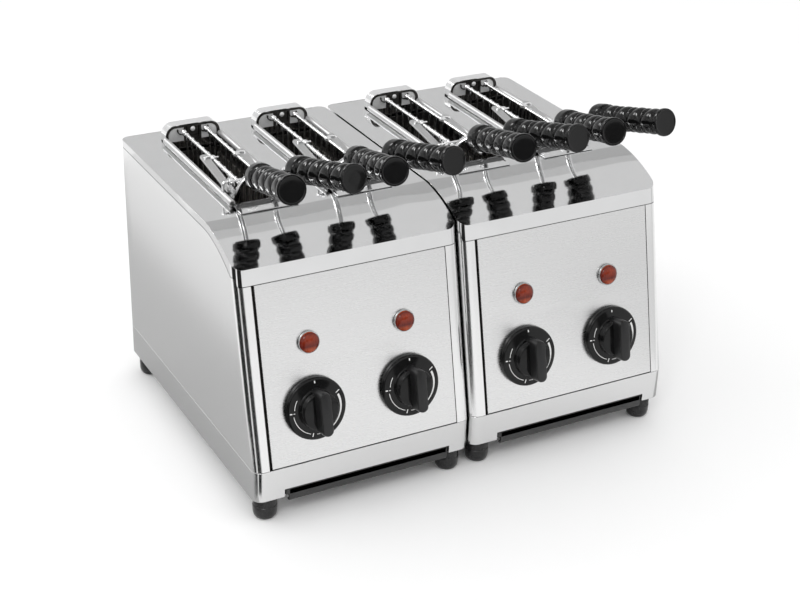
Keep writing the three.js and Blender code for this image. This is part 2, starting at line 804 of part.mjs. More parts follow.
// One module: its housing, controls, slots and tongs. Numbers run from the left of the whole toaster.
function makeModule(side, first, x) {
  const group = new THREE.Group();
  group.add(makeBase(side), makeTray(side), makeBody(side), makePanel(side), makeCover(side));
  columns.forEach((column, i) => {
    const number = first + i;
    group.add(makeKnob(number, column), makeTimer(number, column), makeLamp(number, column));
    group.add(makeSlotFrame(number, column), makeCage(number, column), makeBridge(number, column));
    for (const turn of [-1, 1]) {
      group.add(makeJaw(number, column, turn), makeHandle(number, column, turn));
    }
  });
  const feetX = [-half + footInsetX, half - footInsetX];
  const feetY = [footInsetY, moduleDepth - footInsetY];
  feetX.forEach((footX, i) => {
    feetY.forEach((footY, j) => {
      group.add(makeFoot((first - 1) * 2 + i * 2 + j + 1, footX, footY));
    });
  });
  if (side === "left") {
    group.add(makeGland());
  }
  group.position.x = x;
  return group;
}

// The plate under both bases that holds the modules together.
function makeJoin() {
  const middle = moduleDepth / 2;
  const plate = roundedPrism(
    [-joinWidth / 2, middle - joinLength / 2, footHeight - fit - joinThickness],
    [joinWidth / 2, middle + joinLength / 2, footHeight - fit],
    joinThickness,
    2,
  );
  return piece("joining_plate", plate, "brushed");
}

const toaster = new THREE.Group();
const moduleShift = (moduleWidth + moduleGap) / 2;
toaster.add(makeModule("left", 1, -moduleShift), makeModule("right", 3, moduleShift), makeJoin());

// The origin is the middle of the underside of the whole toaster's box.
const extent = new THREE.Box3().setFromObject(toaster, true);
const middle = extent.getCenter(new THREE.Vector3());
toaster.position.set(-middle.x, -middle.y, -extent.min.z);

export default toaster;
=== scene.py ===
"""A four-slot steel toaster: two identical modules with wire toast tongs. Metres, +Z up, +Y to the back."""

from collections import Counter
from math import asin, cos, pi, radians, sin, sqrt, tan, tau

import bpy
from mathutils import Matrix, Vector


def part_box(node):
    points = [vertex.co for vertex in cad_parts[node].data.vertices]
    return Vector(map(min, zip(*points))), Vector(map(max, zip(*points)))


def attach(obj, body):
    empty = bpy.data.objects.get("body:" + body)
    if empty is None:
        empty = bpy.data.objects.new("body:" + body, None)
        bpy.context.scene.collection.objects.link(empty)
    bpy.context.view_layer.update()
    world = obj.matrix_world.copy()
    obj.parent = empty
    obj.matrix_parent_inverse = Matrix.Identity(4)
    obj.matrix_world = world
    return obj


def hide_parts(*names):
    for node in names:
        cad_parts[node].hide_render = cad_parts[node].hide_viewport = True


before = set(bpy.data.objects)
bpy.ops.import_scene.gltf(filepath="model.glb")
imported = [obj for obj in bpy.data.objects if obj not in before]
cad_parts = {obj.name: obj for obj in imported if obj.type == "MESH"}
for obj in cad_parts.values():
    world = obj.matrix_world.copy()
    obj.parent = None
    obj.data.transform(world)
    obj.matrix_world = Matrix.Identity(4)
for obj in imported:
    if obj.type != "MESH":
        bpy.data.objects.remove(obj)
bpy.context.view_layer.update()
scene = bpy.context.scene

# Camera, fitted to the photograph: place, heading from +Y towards +X, downward tilt and roll.
CAMERA_PLACE = (-0.59, -1.071, 0.719)
CAMERA_HEADING = radians(29.02)
CAMERA_TILT = radians(27.16)
CAMERA_ROLL = radians(1.8)
CAMERA_LENS = 73.7
CAMERA_SENSOR = 36

# Housing
BASE_LOW, BASE_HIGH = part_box("base_left")
FRONT = BASE_LOW.y
DEPTH = BASE_HIGH.y - BASE_LOW.y
HALF = (BASE_HIGH.x - BASE_LOW.x) / 2
BASE_FOOT = BASE_LOW.z
BODY_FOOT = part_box("body_left")[0].z
COVER_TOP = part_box("cover_left")[1].z
PANEL_TILT = radians(12.4)
PANEL_LENGTH = 0.1439
PANEL_MARGIN = 0.012
PANEL_SHEET = 0.0016
PANEL_SEAM_LEFT = 0.0023
PANEL_SEAM_RIGHT = 0.0005
LIP_HEIGHT = 0.012
COVER_RIM = 0.006
COVER_EDGE = 0.0016
COVER_LINE_SHARE = 0.96
FLAT_START = 0.086
CORNER = 0.008
PAST_CORNER = 1.1
SEAM = 0.0005
SHEET = 0.0012
EDGE = 0.0007
FRONT_CURVE_SHARES = (0.49, 0.86)

# Slots
SLOT_FRONT = FRONT + 0.092
SLOT_BACK = FRONT + 0.25
SLOT_INNER = 0.0446
SKIRT = 0.0016
SKIRT_DEPTH = 0.01
BEAD = 0.0026
BEAD_BORE_SHARE = 0.62
ROLL = 0.0075
ROLL_EDGE_SHARE = 0.06
FLANGE = 0.006
FLANGE_SHEET = 0.001
HOOD_HEIGHT = 0.015
HOOD_DEPTH = 0.01
HOOD_PLATE = 0.015
HOOD_SHEET = 0.0012
HOOD_SKIN = 0.0005
HOOD_BAND = 0.0022
HOOD_CORNER_SHARE = 0.62
SLIT = 0.0009
SLIT_OFFSET = 0.0053
SLIT_SHARES = (0.16, 0.84)
RIVET = 0.0021
RIVET_HEIGHT_SHARE = 0.55
CUP = 0.0038
CUP_WALL = 0.0008
CUP_DEPTH = 0.0016
CUP_START = pi * 0.9
CUP_SPAN = pi * 1.2
FIT = 0.0003

# Tongs
ROD = 0.0015
ROD_SPACING = 0.0198
ROD_HEIGHT = 0.01
ROD_FRONT = FRONT + 0.118
ROD_BACK = FRONT + 0.235
BALL = 0.0025
WIRE = 0.0009
WIRE_PITCH = 0.0109
GRID_DEPTH = 0.115
TOE = 0.007
BAR = 0.00115
BAR_Y = FRONT + 0.12
BAR_BEND = 0.0025
SPRING = 0.0021
SPRING_WIRE = 0.00055
SPRING_PITCH = 0.002
SPRING_CURLS = 4
ARM_WIDTH = 0.007
ARM_SHEET = 0.0015
ARM_OFFSET = 0.0155
ARM_LENGTH = 0.068
ARM_RISE = 0.0105
ARM_CORNER = 0.0032
EYE = 0.003
EYE_WIDTH = 0.003
EYE_OFFSET = 0.018
CLIP_PEG = 0.0036
CLIP_WIRE = 0.0009
CLIP_RUN = 0.0545
CLIP_HOOK = 0.0011
CLIP_CURLS = 2
STEM = 0.0022
STEM_RISE = 0.014
TANG = 0.026
HANDLE_LENGTH = 0.082
HANDLE_RADIUS = 0.0108
HANDLE_LOBE = 0.0101
HANDLE_WAIST = 0.0083
HANDLE_LOBES = 5
HANDLE_CAP = 0.004
HANDLE_SPREAD = 0.0154
HANDLE_REACH = 0.044
HANDLE_CLIMB = 0.0346
HANDLE_RISE = radians(15)
HANDLE_SPLAY = radians(6.2)
GROOVE_LEAN_SHARE = 0.2
GROOVE_REACH_SHARE = 0.36
# The first and the last place, counted in lobes, where the grooves lean.
GROOVE_START = 0.8
GROOVE_END = HANDLE_LOBES - 0.1

# Controls
KNOB_HEIGHT = 0.0415
KNOB_RADIUS = 0.0245
KNOB_SKIRT = 0.0055
KNOB_HUB = 0.015
KNOB_HUB_HEIGHT = 0.0125
KNOB_GAP = 0.0006
KNOB_EDGE = 0.001
GRIP_WIDTH = 0.009
GRIP_LENGTH = 0.0345
GRIP_HEIGHT = 0.0226
GRIP_END_SHARE = 0.96
# Rings of the grip: share of its height and share of its width.
GRIP_RINGS = ((0, 1), (0.8, 1), (0.93, 0.985), (0.985, 0.94), (1, 0.86))
SHAFT = 0.0033
LAMP_HEIGHT = 0.093
LAMP_RADIUS = 0.0088
LAMP_LENS = 0.0079
LAMP_RIM = 0.0024
LAMP_DOME = 0.0034
LAMP_BARREL = 0.0065
LAMP_BACK = 0.012
MARK_RADIUS = 0.0195
MARK_LINE = 0.00045
PRINT_THICKNESS = 0.00006
# Ticks: hour, then inner end, outer end and width in line widths. Arcs: first and last hour, then
# the way out and the first and last width in line widths.
TICKS = ((0, 2, 6, 2), (9.05, -3, 0, 1), (9.05, 2, 6, 2), (6.5, -2, 5, 1.6), (2, -2, 6, 1.6))
ARCS = ((9.3, 10.1, -2, 1, 1), (6.7, 8.8, 0, 1, 1), (2.2, 6.2, 0, 4, 0.8))

# Feet, tray, cage and small sizes
FOOT_RADIUS = 0.0095
TRAY_SHEET = 0.001
TRAY_LEDGE = 0.005
TRAY_LIP_INSET = 0.003
LIP_ROLL_SHARE = 0.18
CAGE_SHEET = 0.001
MICA_SHEET = 0.0008
MICA_INSET = 0.004
HEAT_PITCH = 0.0038
HEAT_WIRE_RADIUS = 0.0005
SCREW = 0.0028
SCREW_SPREAD = (0.28, 0.32)
OVERRUN = 0.004
SHARP = 30

# Profiles in shares of a radius and a height
FOOT_PROFILE = (
    (0, 0), (0.62, 0), (0.8, 0.035), (0.93, 0.12), (0.985, 0.24), (1, 0.36),
    (1, 0.55), (0.96, 0.57), (0.96, 0.6), (0.985, 0.62), (0.985, 1), (0, 1),
)
GLAND_PROFILE = (
    (0.42, 0), (0.66, 0), (0.66, 0.34), (1, 0.38), (1, 0.54), (0.95, 0.58),
    (0.78, 0.64), (0.66, 1), (0.42, 1), (0.4, 0.9), (0.4, 0.1), (0.42, 0),
)
CAP_PROFILE = (
    (0.93, 0.1), (0.99, 0.24), (1, 0.34), (1, 0.76), (0.985, 0.92),
    (0.95, 1), (0.9, 1), (0.87, 0.92), (0.82, 0.9), (0.4, 0.9),
)
SCREW_PROFILE = ((0, 0), (0.8, 0), (1, -0.3), (0.7, -0.7), (0, -0.8))

# How finely round forms are divided
CORNER_STEPS = 14
WALL_TRIES = 6
COVER_TRIES = 12
CURVE_STEPS = 28
ROUND_STEPS = 48
BEND_STEPS = 8
ARCH_STEPS = 12
CUP_STEPS = 20
PLATE_STEPS = 6
DOME_STEPS = 10
ARC_STEPS = 40
HOURS = 12
TICK_STEPS = 4
CURL_STEPS = 24
HANDLE_STEPS = 170
HANDLE_SIDES = 80
KNOB_SIDES = 96
LAMP_SIDES = 64
EYE_SIDES = 32
ROD_SIDES = 24
STEM_SIDES = 20
WIRE_SIDES = 12
CLIP_SIDES = 10
HOOK_SIDES = 8
HEAT_SIDES = 6

# Light. Lamps: name, place, size, power, and whether they light more than reflections.
WORLD_LIGHT = 0.97
LAMP_AIM = (0, 0, 0.12)
LAMPS = (
    ("key", (-1.2, -1.4, 1.9), (0.8, 0.6), 9, True),
    ("top", (-1.3, 0.55, 1.8), (1.4, 1.2), 5, True),
    ("rim", (-0.75, 1.1, 1.5), (0.6, 0.3), 12, False),
    ("edge", (-0.41, 1.12, 0.97), (0.35, 0.35), 3, False),
)
# Cards that only reflections show: name, low and high corner or all four corners, shade.
CARDS = (
    ("card_back", ((-1.7, 1.2, 0.3), (1.7, 1.2, 1.02)), 0.68),
    ("card_band", ((-1.7, 1.2, 1.02), (1.7, 1.2, 1.85)), 0.5),
    ("card_edge", ((-1.7, 0.8, 1.85), (1.7, 1.2, 1.85)), 0.64),
    ("card_over", ((-1.7, -0.5, 1.85), (1.7, 0.8, 1.85)), 0.8),
    ("card_right", ((0.35, -0.3, 0.002), (1.6, -0.3, 0.002), (1.6, -2, 0.002), (0.85, -2, 0.002)), 0.72),
    ("card_near", ((-0.29, -0.15, 0.002), (-0.19, 0.6, 0.002)), 0.5),
    ("card_far", ((-0.37, -0.15, 0.002), (-0.29, 0.6, 0.002)), 0.78),
    ("card_close", ((0.19, -0.15, 0.002), (0.29, 0.6, 0.002)), 0.5),
    ("card_away", ((0.29, -0.15, 0.002), (0.37, 0.6, 0.002)), 0.78),
    ("card_low", ((-0.3, -1.4, 0.3), (0.8, -1.4, 0.62)), 0.16),
)
# Cards round the left front corner: name, first and last angle.
SECTORS = (("card_front", -98, -138), ("card_side", -150, -205))
SECTOR_PLACE = (-0.187, -0.135, 0.002)
SECTOR_REACH = (0.03, 1.2)
SECTOR_HEIGHT = 0.45
SECTOR_SHADE = 0.02
FLOOR_SIZE = 12
FLOOR_SHADE = 0.97
FLOOR_ROUGHNESS = 0.9

# Grain and waviness of the surfaces
GRAIN_DEPTH = 0.0002
TONE_ENDS = (0.3, 0.7)
BRUSHED_SPREAD = 0.008
SATIN_SPREAD = 0.05
WAVE_SCALE = 24
WAVE_DEPTH = 0.0014
COAT_ROUGHNESS = 0.05

# Places worked out from the sizes
PANEL_TOP = BODY_FOOT + PANEL_LENGTH * cos(PANEL_TILT)
CREASE_TOP = PANEL_TOP + LIP_HEIGHT
ROD_TOP = COVER_TOP + ROD_HEIGHT
BAR_TOP = ROD_TOP + ROD + FIT + BAR
ARM_TOP = COVER_TOP + ARM_SHEET
SLOT_FOOT = COVER_TOP + FIT
ARM_FRONT = ROD_FRONT - STEM * 2
ARM_PITCH = asin(ARM_RISE / ARM_LENGTH)
FRAME_OUTER = SLOT_INNER / 2 + SKIRT
BEAD_OFFSET = (SLOT_INNER + SKIRT * 2) / 2
SIDE_OF = {-1: "left", 1: "right"}
SLOTS_OF = {"left": (1, 2), "right": (3, 4)}


def middle_x(node):
    low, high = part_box(node)
    return (low.x + high.x) / 2


def at(place, angle=0, axis="X"):
    """The pose of a form that is turned about an axis and then moved to its place."""
    return Matrix.Translation(place) @ Matrix.Rotation(angle, 4, axis)


MODULE_X = {side: middle_x(f"base_{side}") for side in SLOTS_OF}
SLOT_X = {n: middle_x(f"slot_frame_{n}") for n in (1, 2, 3, 4)}
PANEL_POSE = at((0, FRONT, BODY_FOOT), pi / 2 - PANEL_TILT)


def on_panel(n, height, out=0):
    """The pose of a control on the leaning panel, in line with its slot."""
    return PANEL_POSE @ Matrix.Translation((SLOT_X[n], height, out))


# Mesh making

def full_turn(steps):
    """Angles all round, without the last one."""
    return [tau * i / steps for i in range(steps)]


def sweep(start, span, steps):
    """Even steps from a start over a span, with both ends."""
    return [start + span * i / steps for i in range(steps + 1)]


def corner(x, y, radius, start, steps=CORNER_STEPS):
    """A quarter turn round a centre, anticlockwise from an angle."""
    return [(x + radius * cos(t), y + radius * sin(t)) for t in sweep(start, pi / 2, steps)]


def scaled(profile, radius, height):
    return [(r * radius, z * height) for r, z in profile]


def dome(radius, height, steps, foot=0):
    """The profile of a round top, from its rim to its middle."""
    turns = sweep(0, pi / 2, steps)[:-1]
    return [*[(radius * cos(t), foot + height * sin(t)) for t in turns], (0, foot + height)]


class Shape:
    """Points and faces of one piece, gathered from simple forms."""

    def __init__(self):
        self.points = []
        self.faces = []

    def add(self, points, faces, pose=None):
        start = len(self.points)
        self.points += [Vector(p) if pose is None else pose @ Vector(p) for p in points]
        self.faces += [[start + i for i in face] for face in faces]
        return self

    def loft(self, rings, closed=True, caps=(True, True), pose=None):
        """Joins rings of equally many points."""
        count = len(rings[0])
        faces = []
        for r in range(len(rings) - 1):
            for i in range(count if closed else count - 1):
                a = r * count + i
                b = r * count + (i + 1) % count
                faces.append([a, b, b + count, a + count])
        if caps[0]:
            faces.append(list(range(count))[::-1])
        if caps[1]:
            last = (len(rings) - 1) * count
            faces.append(list(range(last, last + count)))
        return self.add([p for ring in rings for p in ring], faces, pose)

    def turned(self, profile, steps=ROUND_STEPS, pose=None):
        """A turned form about Z from pairs of radius and height, with a flat end where the radius isn't 0."""
        turns = full_turn(steps)
        rings = [[(r * cos(t), r * sin(t), z) for t in turns] for r, z in profile]
        return self.loft(rings, caps=(profile[0][0] > 0, profile[-1][0] > 0), pose=pose)

    def tube(self, path, radius, sides):
        """A round wire along a path of points."""
        return self.loft(wire_rings([Vector(p) for p in path], radius, sides))

    def box(self, low, high, pose=None):
        x, y, z = zip(low, high)
        points = [(x[i], y[j], z[k]) for i in (0, 1) for j in (0, 1) for k in (0, 1)]
        faces = [[0, 1, 3, 2], [4, 6, 7, 5], [0, 4, 5, 1], [2, 3, 7, 6], [0, 2, 6, 4], [1, 5, 7, 3]]
        return self.add(points, faces, pose)

    def ball(self, centre, radius, steps=20):
        turns = sweep(0, pi, steps)
        profile = [(abs(radius * sin(t)), -radius * cos(t)) for t in turns]
        return self.turned(profile, steps * 2, Matrix.Translation(centre))


def wire_rings(path, radius, sides):
    """Rings round a path whose frames turn as little as they can."""
    ways = [(path[min(i + 1, len(path) - 1)] - path[max(i - 1, 0)]).normalized() for i in range(len(path))]
    side = ways[0].orthogonal().normalized()
    rings = []
    for i, (point, way) in enumerate(zip(path, ways)):
        if i:
            side = ways[i - 1].rotation_difference(way) @ side
        other = way.cross(side)
        rings.append([point + (side * cos(t) + other * sin(t)) * radius for t in full_turn(sides)])
    return rings


def bent(points, radius, steps=BEND_STEPS):
    points = [Vector(p) for p in points]
    path = [points[0]]
    for before, bend, after in zip(points, points[1:], points[2:]):
        start = bend + (before - bend).normalized() * radius
        end = bend + (after - bend).normalized() * radius
        path += [start.lerp(bend, t).lerp(bend.lerp(end, t), t) for t in sweep(0, 1, steps)]
    return [*path, points[-1]]


def prism(low, high, radius, steps=CORNER_STEPS):
    """A block whose upright edges are rounded, from its low and high corners."""
    left, front = low[0] + radius, low[1] + radius
    right, back = high[0] - radius, high[1] - radius
    plan = []
    for i, (x, y) in enumerate([(right, front), (right, back), (left, back), (left, front)]):
        plan += corner(x, y, radius, pi / 2 * (i - 1), steps)
    return Shape().loft([[(x, y, z) for x, y in plan] for z in (low[2], high[2])])


def fill(owner, **values):
    """Sets a node's inputs, named with _ for a space, or the settings of anything else."""
    inputs = getattr(owner, "inputs", {})
    for key, value in values.items():
        entry = key.replace("_", " ")
        if entry in inputs:
            inputs[entry].default_value = value
        else:
            setattr(owner, key, value)


def place_new(name, data):
    made = bpy.data.objects.new(name, data)
    scene.collection.objects.link(made)
    return made


def new_mesh(name, points, faces):
    mesh = bpy.data.meshes.new(name)
    mesh.from_pydata(points, [], faces)
    return mesh


def smoothen(mesh, angle):
    """Smooth faces, with sharp edges above an angle."""
    mesh.polygons.foreach_set("use_smooth", [True] * len(mesh.polygons))
    mesh.set_sharp_from_angle(angle=radians(angle))


def piece(name, shape, material, replaces=(), body="root", edge=0, smooth=SHARP):
    """Makes the object of a shape, which rides on a body and stands for CAD nodes."""
    mesh = new_mesh(name, shape.points, shape.faces)
    mesh.validate()
    mesh.materials.append(material)
    smoothen(mesh, smooth)
    made = place_new(name, mesh)
    if edge:
        bevel = made.modifiers.new("edges", "BEVEL")
        fill(bevel, width=edge, segments=3, harden_normals=True)
        fill(bevel, limit_method="ANGLE", angle_limit=radians(smooth))
    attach(made, body)
    if replaces:
        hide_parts(*replaces)
    return made


def thicken(made):
    """Gives an open skin the thickness of its sheet, inwards and with crisp borders."""
    uses = Counter(key for polygon in made.data.polygons for key in polygon.edge_keys)
    for side in made.data.edges:
        if uses[side.key] == 1:
            side.use_edge_sharp = True
    fill(made.modifiers.new("sheet", "SOLIDIFY"), thickness=SHEET, offset=-1)


def cut(made, cutter):
    """Cuts a shape out of a made piece for good."""
    tool = place_new("cutter", new_mesh("cutter", cutter.points, cutter.faces))
    others = list(made.modifiers)
    boolean = made.modifiers.new("cut", "BOOLEAN")
    fill(boolean, object=tool, solver="EXACT")
    for modifier in others:
        modifier.show_viewport = False
    evaluated = made.evaluated_get(bpy.context.evaluated_depsgraph_get())
    made.data = bpy.data.meshes.new_from_object(evaluated)
    made.modifiers.remove(boolean)
    for modifier in others:
        modifier.show_viewport = True
    smoothen(made.data, SHARP)
    bpy.data.objects.remove(tool)


# Materials


def shader(name, slot, color, metallic=0, roughness=0.4, coat=0, specular=0.5, anisotropic=0):
    """A plain material and its shader node. The slot argument is not used."""
    material = bpy.data.materials.new(name)
    material.use_nodes = True
    bsdf = material.node_tree.nodes["Principled BSDF"]
    fill(bsdf, Base_Color=(*color, 1), Metallic=metallic, Roughness=roughness, Anisotropic=anisotropic)
    fill(bsdf, Coat_Weight=coat, Coat_Roughness=COAT_ROUGHNESS, Specular_IOR_Level=specular)
    return material, bsdf


def add(owner, kind, **values):
    node = owner.node_tree.nodes.new("ShaderNode" + kind)
    fill(node, **values)
    return node


def add_ramp(owner, *stops):
    """A colour ramp from pairs of place and colour, in rising order."""
    ramp = add(owner, "ValToRGB")
    elements = ramp.color_ramp.elements
    for i, (place, color) in enumerate(stops):
        element = elements[i] if i < len(elements) else elements.new(place)
        element.position = place
        element.color = (*color, 1)
    return ramp


def wire_up(owner, *links):
    """Joins one node's output to another's input for each link."""
    for source, output, target, entry in links:
        owner.node_tree.links.new(source.outputs[output], target.inputs[entry])


def add_noise(material, place, stretch, span, **values):
    """Stretched noise, and a node that spreads it over a span."""
    mapping = add(material, "Mapping", Scale=stretch)
    noise = add(material, "TexNoise", **values)
    spread = add(material, "MapRange", To_Min=span[0], To_Max=span[1])
    wire_up(material, (place, "Object", mapping, "Vector"), (mapping, "Vector", noise, "Vector"))
    wire_up(material, (noise, "Fac", spread, "Value"))
    return noise, spread


def grained(name, slot, color, tones, scale, bump, rough, stretch=(1, 1, 1), wave=0, **looks):
    """A material whose tone, roughness and height follow a fine, stretched grain."""
    material, bsdf = shader(name, slot, color, **looks)
    place = add(material, "TexCoord")
    noise, spread = add_noise(material, place, stretch, rough, Scale=scale, Detail=6, Roughness=0.65)
    raised = add(material, "Bump", Strength=bump, Distance=GRAIN_DEPTH)
    ramp = add_ramp(material, *zip(TONE_ENDS, tones))
    wire_up(
        material,
        (spread, "Result", bsdf, "Roughness"),
        (noise, "Fac", raised, "Height"),
        (raised, "Normal", bsdf, "Normal"),
        (noise, "Fac", ramp, "Fac"),
        (ramp, "Color", bsdf, "Base Color"),
    )
    if wave:
        swell = add(material, "TexNoise", Scale=WAVE_SCALE, Detail=0)
        dent = add(material, "Bump", Strength=wave, Distance=WAVE_DEPTH)
        wire_up(material, (place, "Object", swell, "Vector"), (swell, "Fac", dent, "Height"))
        wire_up(material, (dent, "Normal", raised, "Normal"))
    return material


def grey(tone):
    return (tone, tone, tone)


def steel_brushed(name, stretch, tone, rough):
    """Satin sheet: fine streaks along the rolling direction."""
    tones = (grey(tone * (1 - BRUSHED_SPREAD)), grey(tone * (1 + BRUSHED_SPREAD)))
    looks = {"rough": (rough, rough * 1.3), "metallic": 1, "roughness": rough, "anisotropic": 0.3}
    return grained(name, "brushed_steel", grey(tone), tones, scale=900, bump=0.007, stretch=stretch, **looks)


def steel_satin(name, slot, tone):
    """Dull sheet that keeps its tone from all sides."""
    tones = (grey(tone * (1 - SATIN_SPREAD)), grey(tone * (1 + SATIN_SPREAD)))
    looks = {"rough": (0.36, 0.44), "metallic": 0.4, "roughness": 0.4}
    return grained(name, slot, grey(tone), tones, scale=400, bump=0.03, **looks)


def lens_red():
    """Orange-red lens: a lighter middle, a dark ring round it that paints the bezel's shadow, a painted
    highlight ring at its edge, and fine upright facets.
    """
    material, bsdf = shader("lamp_lens", "lamp_red", (0.4, 0.05, 0.02), roughness=0.1, specular=0.3)
    place = add(material, "TexCoord")
    shift = add(material, "VectorMath", operation="SUBTRACT")
    shift.inputs[1].default_value = (0.5, 0.5, 0.5)
    away = add(material, "VectorMath", operation="LENGTH")
    # The dark stop paints the bezel's shadow; the last, light stop paints a highlight.
    stops = ((0.2, (0.4, 0.06, 0.022)), (0.5, (0.1, 0.01, 0.006)), (0.62, (0.55, 0.1, 0.03)))
    ramp = add_ramp(material, *stops)
    facets = add_noise(material, place, (1, 1, 0.08), (0.45, 1.55), Scale=900, Detail=2)[1]
    mixed = add(material, "VectorMath", operation="SCALE")
    wire_up(
        material,
        (place, "Generated", shift, 0),
        (shift, "Vector", away, 0),
        (away, "Value", ramp, "Fac"),
        (ramp, "Color", mixed, 0),
        (facets, "Result", mixed, "Scale"),
        (mixed, "Vector", bsdf, "Base Color"),
    )
    return material


PANEL_STEEL = steel_brushed("brushed_across", (0.02, 1, 1), 0.73, 0.24)
SIDE_STEEL = steel_brushed("brushed_upright", (1, 1, 0.02), 0.8, 0.16)
BASE_STEEL = steel_brushed("brushed_base", (0.02, 1, 1), 0.72, 0.14)
ARM_STEEL = steel_satin("arm_steel", "wire_steel", 0.42)
# Painted shade: the polished slot beads take a duller, darker copy of the steel.
BEAD_SHADE_STEEL = steel_satin("bead_painted_shade_steel", "polished_steel", 0.5)
# Painted light: the hood's ears and rivets take a lighter, duller copy of the polished steel, so they read
# light grey.
EAR_LIGHT_STEEL = steel_satin("ear_painted_light_steel", "polished_steel", 0.8)
# Painted highlight: the hood's outer skin is polished steel given a near-white tone for the light it catches.
HIGHLIGHT_PAINTED_STEEL = grained(
    "highlight_painted_steel", "polished_steel", (0.9, 0.902, 0.905), ((0.88, 0.882, 0.884), (0.92, 0.922, 0.925)),
    scale=200, bump=0.01, rough=(0.05, 0.12), metallic=1, roughness=0.08,
)
# Painted shade and reflection: the polished rolls get a dark tone for the shade of the grips and the dark
# slot that they reflect.
SHADE_PAINTED_STEEL = grained(
    "shade_painted_steel", "polished_steel", (0.1, 0.1, 0.101), ((0.08, 0.08, 0.081), (0.13, 0.13, 0.131)),
    scale=200, bump=0.01, rough=(0.1, 0.18), metallic=1, roughness=0.14,
)
POLISHED = grained(
    "polished_steel", "polished_steel", (0.72, 0.722, 0.725), ((0.71, 0.712, 0.714), (0.73, 0.732, 0.735)),
    scale=60, bump=0.01, rough=(0.05, 0.08), wave=0.6, metallic=1, roughness=0.07,
)
WIRE_STEEL = grained(
    "wire_steel", "wire_steel", (0.82, 0.825, 0.83), (grey(0.76), (0.86, 0.863, 0.866)),
    scale=400, bump=0.05, rough=(0.08, 0.22), metallic=1, roughness=0.14,
)
# Heat tint for the cages and timers; painted shade for the body flanges behind the panel seams and for the
# hoods' bands, plates and cups.
HEATED_AND_SHADE_STEEL = grained(
    "heated_and_painted_shade_steel", "dark_steel", (0.05, 0.047, 0.045), ((0.02, 0.018, 0.017), (0.1, 0.095, 0.09)),
    scale=140, bump=0.25, rough=(0.35, 0.7), stretch=(1, 1, 6), metallic=0.9, roughness=0.5,
)
MICA = grained(
    "mica_board", "dark_steel", (0.1, 0.09, 0.08), ((0.05, 0.045, 0.04), (0.16, 0.15, 0.135)),
    scale=220, bump=0.2, rough=(0.4, 0.75), stretch=(1, 4, 1), roughness=0.6,
)
HEAT_WIRE = grained(
    "heating_wire", "dark_steel", (0.5, 0.48, 0.46), ((0.55, 0.53, 0.51), (0.85, 0.83, 0.81)),
    scale=300, bump=0.1, rough=(0.2, 0.5), metallic=1, roughness=0.3,
)
BLACK = grained(
    "black_plastic", "black_plastic",
    (0.0035, 0.0035, 0.0036), ((0.003, 0.003, 0.0031), (0.005, 0.005, 0.0051)),
    scale=500, bump=0.015, rough=(0.08, 0.13), roughness=0.1, specular=0.28,
)
SATIN = grained(
    "satin_plastic", "black_plastic",
    (0.01, 0.01, 0.0104), ((0.008, 0.008, 0.0084), (0.014, 0.014, 0.0144)),
    scale=800, bump=0.04, rough=(0.24, 0.4), roughness=0.3, specular=0.35,
)
ENAMEL = grained(
    "black_enamel", "black_enamel", grey(0.015), (grey(0.01), grey(0.024)),
    scale=350, bump=0.12, rough=(0.28, 0.5), roughness=0.35, coat=0.2,
)
RUBBER = grained(
    "foot_rubber", "rubber", (0.012, 0.012, 0.0125), ((0.01, 0.01, 0.0105), (0.018, 0.018, 0.0185)),
    scale=700, bump=0.05, rough=(0.2, 0.32), roughness=0.25, specular=0.4,
)
PRINT = grained(
    "printed_white", "black_plastic", (0.82, 0.82, 0.81), ((0.74, 0.74, 0.73), (0.86, 0.86, 0.85)),
    scale=900, bump=0.02, rough=(0.4, 0.6), roughness=0.5,
)
LENS = lens_red()
BEZEL = grained(
    "lamp_bezel", "lamp_red", grey(0.5), (grey(0.42), grey(0.58)),
    scale=500, bump=0.03, rough=(0.08, 0.2), metallic=1, roughness=0.12,
)


# Housing

def front_at(z):
    """How far the leaning front stands back at a height, from the foot of the front."""
    return (z - BODY_FOOT) * tan(PANEL_TILT)


def leaned(x, y, z):
    """A point of the housing's upright outline, moved to its leaning place."""
    return Vector((x, FRONT + y + front_at(z) * (1 - y / DEPTH), z))


def outline_depth(y, z):
    """The depth on the upright outline of a point that leans to depth y at height z."""
    shift = front_at(z)
    return (y - shift) / (1 - shift / DEPTH)


def cover_line(drop):
    """The cover's line from its front crease to its flat, in depth and height."""
    start = Vector((front_at(CREASE_TOP) + drop, CREASE_TOP - drop))
    end = Vector((FLAT_START, COVER_TOP - drop))
    middle = start + Vector([(end - start)[i] * FRONT_CURVE_SHARES[i] for i in (0, 1)])
    return [start.lerp(middle, t).lerp(middle.lerp(end, t), t) for t in sweep(0, 1, CURVE_STEPS)]


def height_on(line, y, before, after):
    """The height of a line at depth y, with those before its start and after its end."""
    if y <= line[0].x:
        return before
    for a, b in zip(line, line[1:]):
        if y <= b.x:
            return a.y + (b.y - a.y) * (y - a.x) / (b.x - a.x)
    return after


def parting(y, gap):
    """The height at depth y of the line that parts the cover from the body."""
    if y <= front_at(PANEL_TOP) + SHEET * 2:
        return PANEL_TOP - gap
    line = cover_line(COVER_RIM + gap)
    return height_on(line, y, line[0].y, COVER_TOP - COVER_RIM - gap)


def cover_height(y):
    return height_on(cover_line(0), y, CREASE_TOP, COVER_TOP)


def settle(x, depth, height, rule, tries):
    """The height at which a leaned point of the outline agrees with a rule."""
    for _ in range(tries):
        height = rule(leaned(x, depth, height).y - FRONT)
    return height


def wall_top(x, depth, gap):
    """Where the body's wall meets the cover over a point of the outline."""
    return leaned(x, depth, settle(x, depth, PANEL_TOP, lambda y: parting(y, gap), WALL_TRIES))


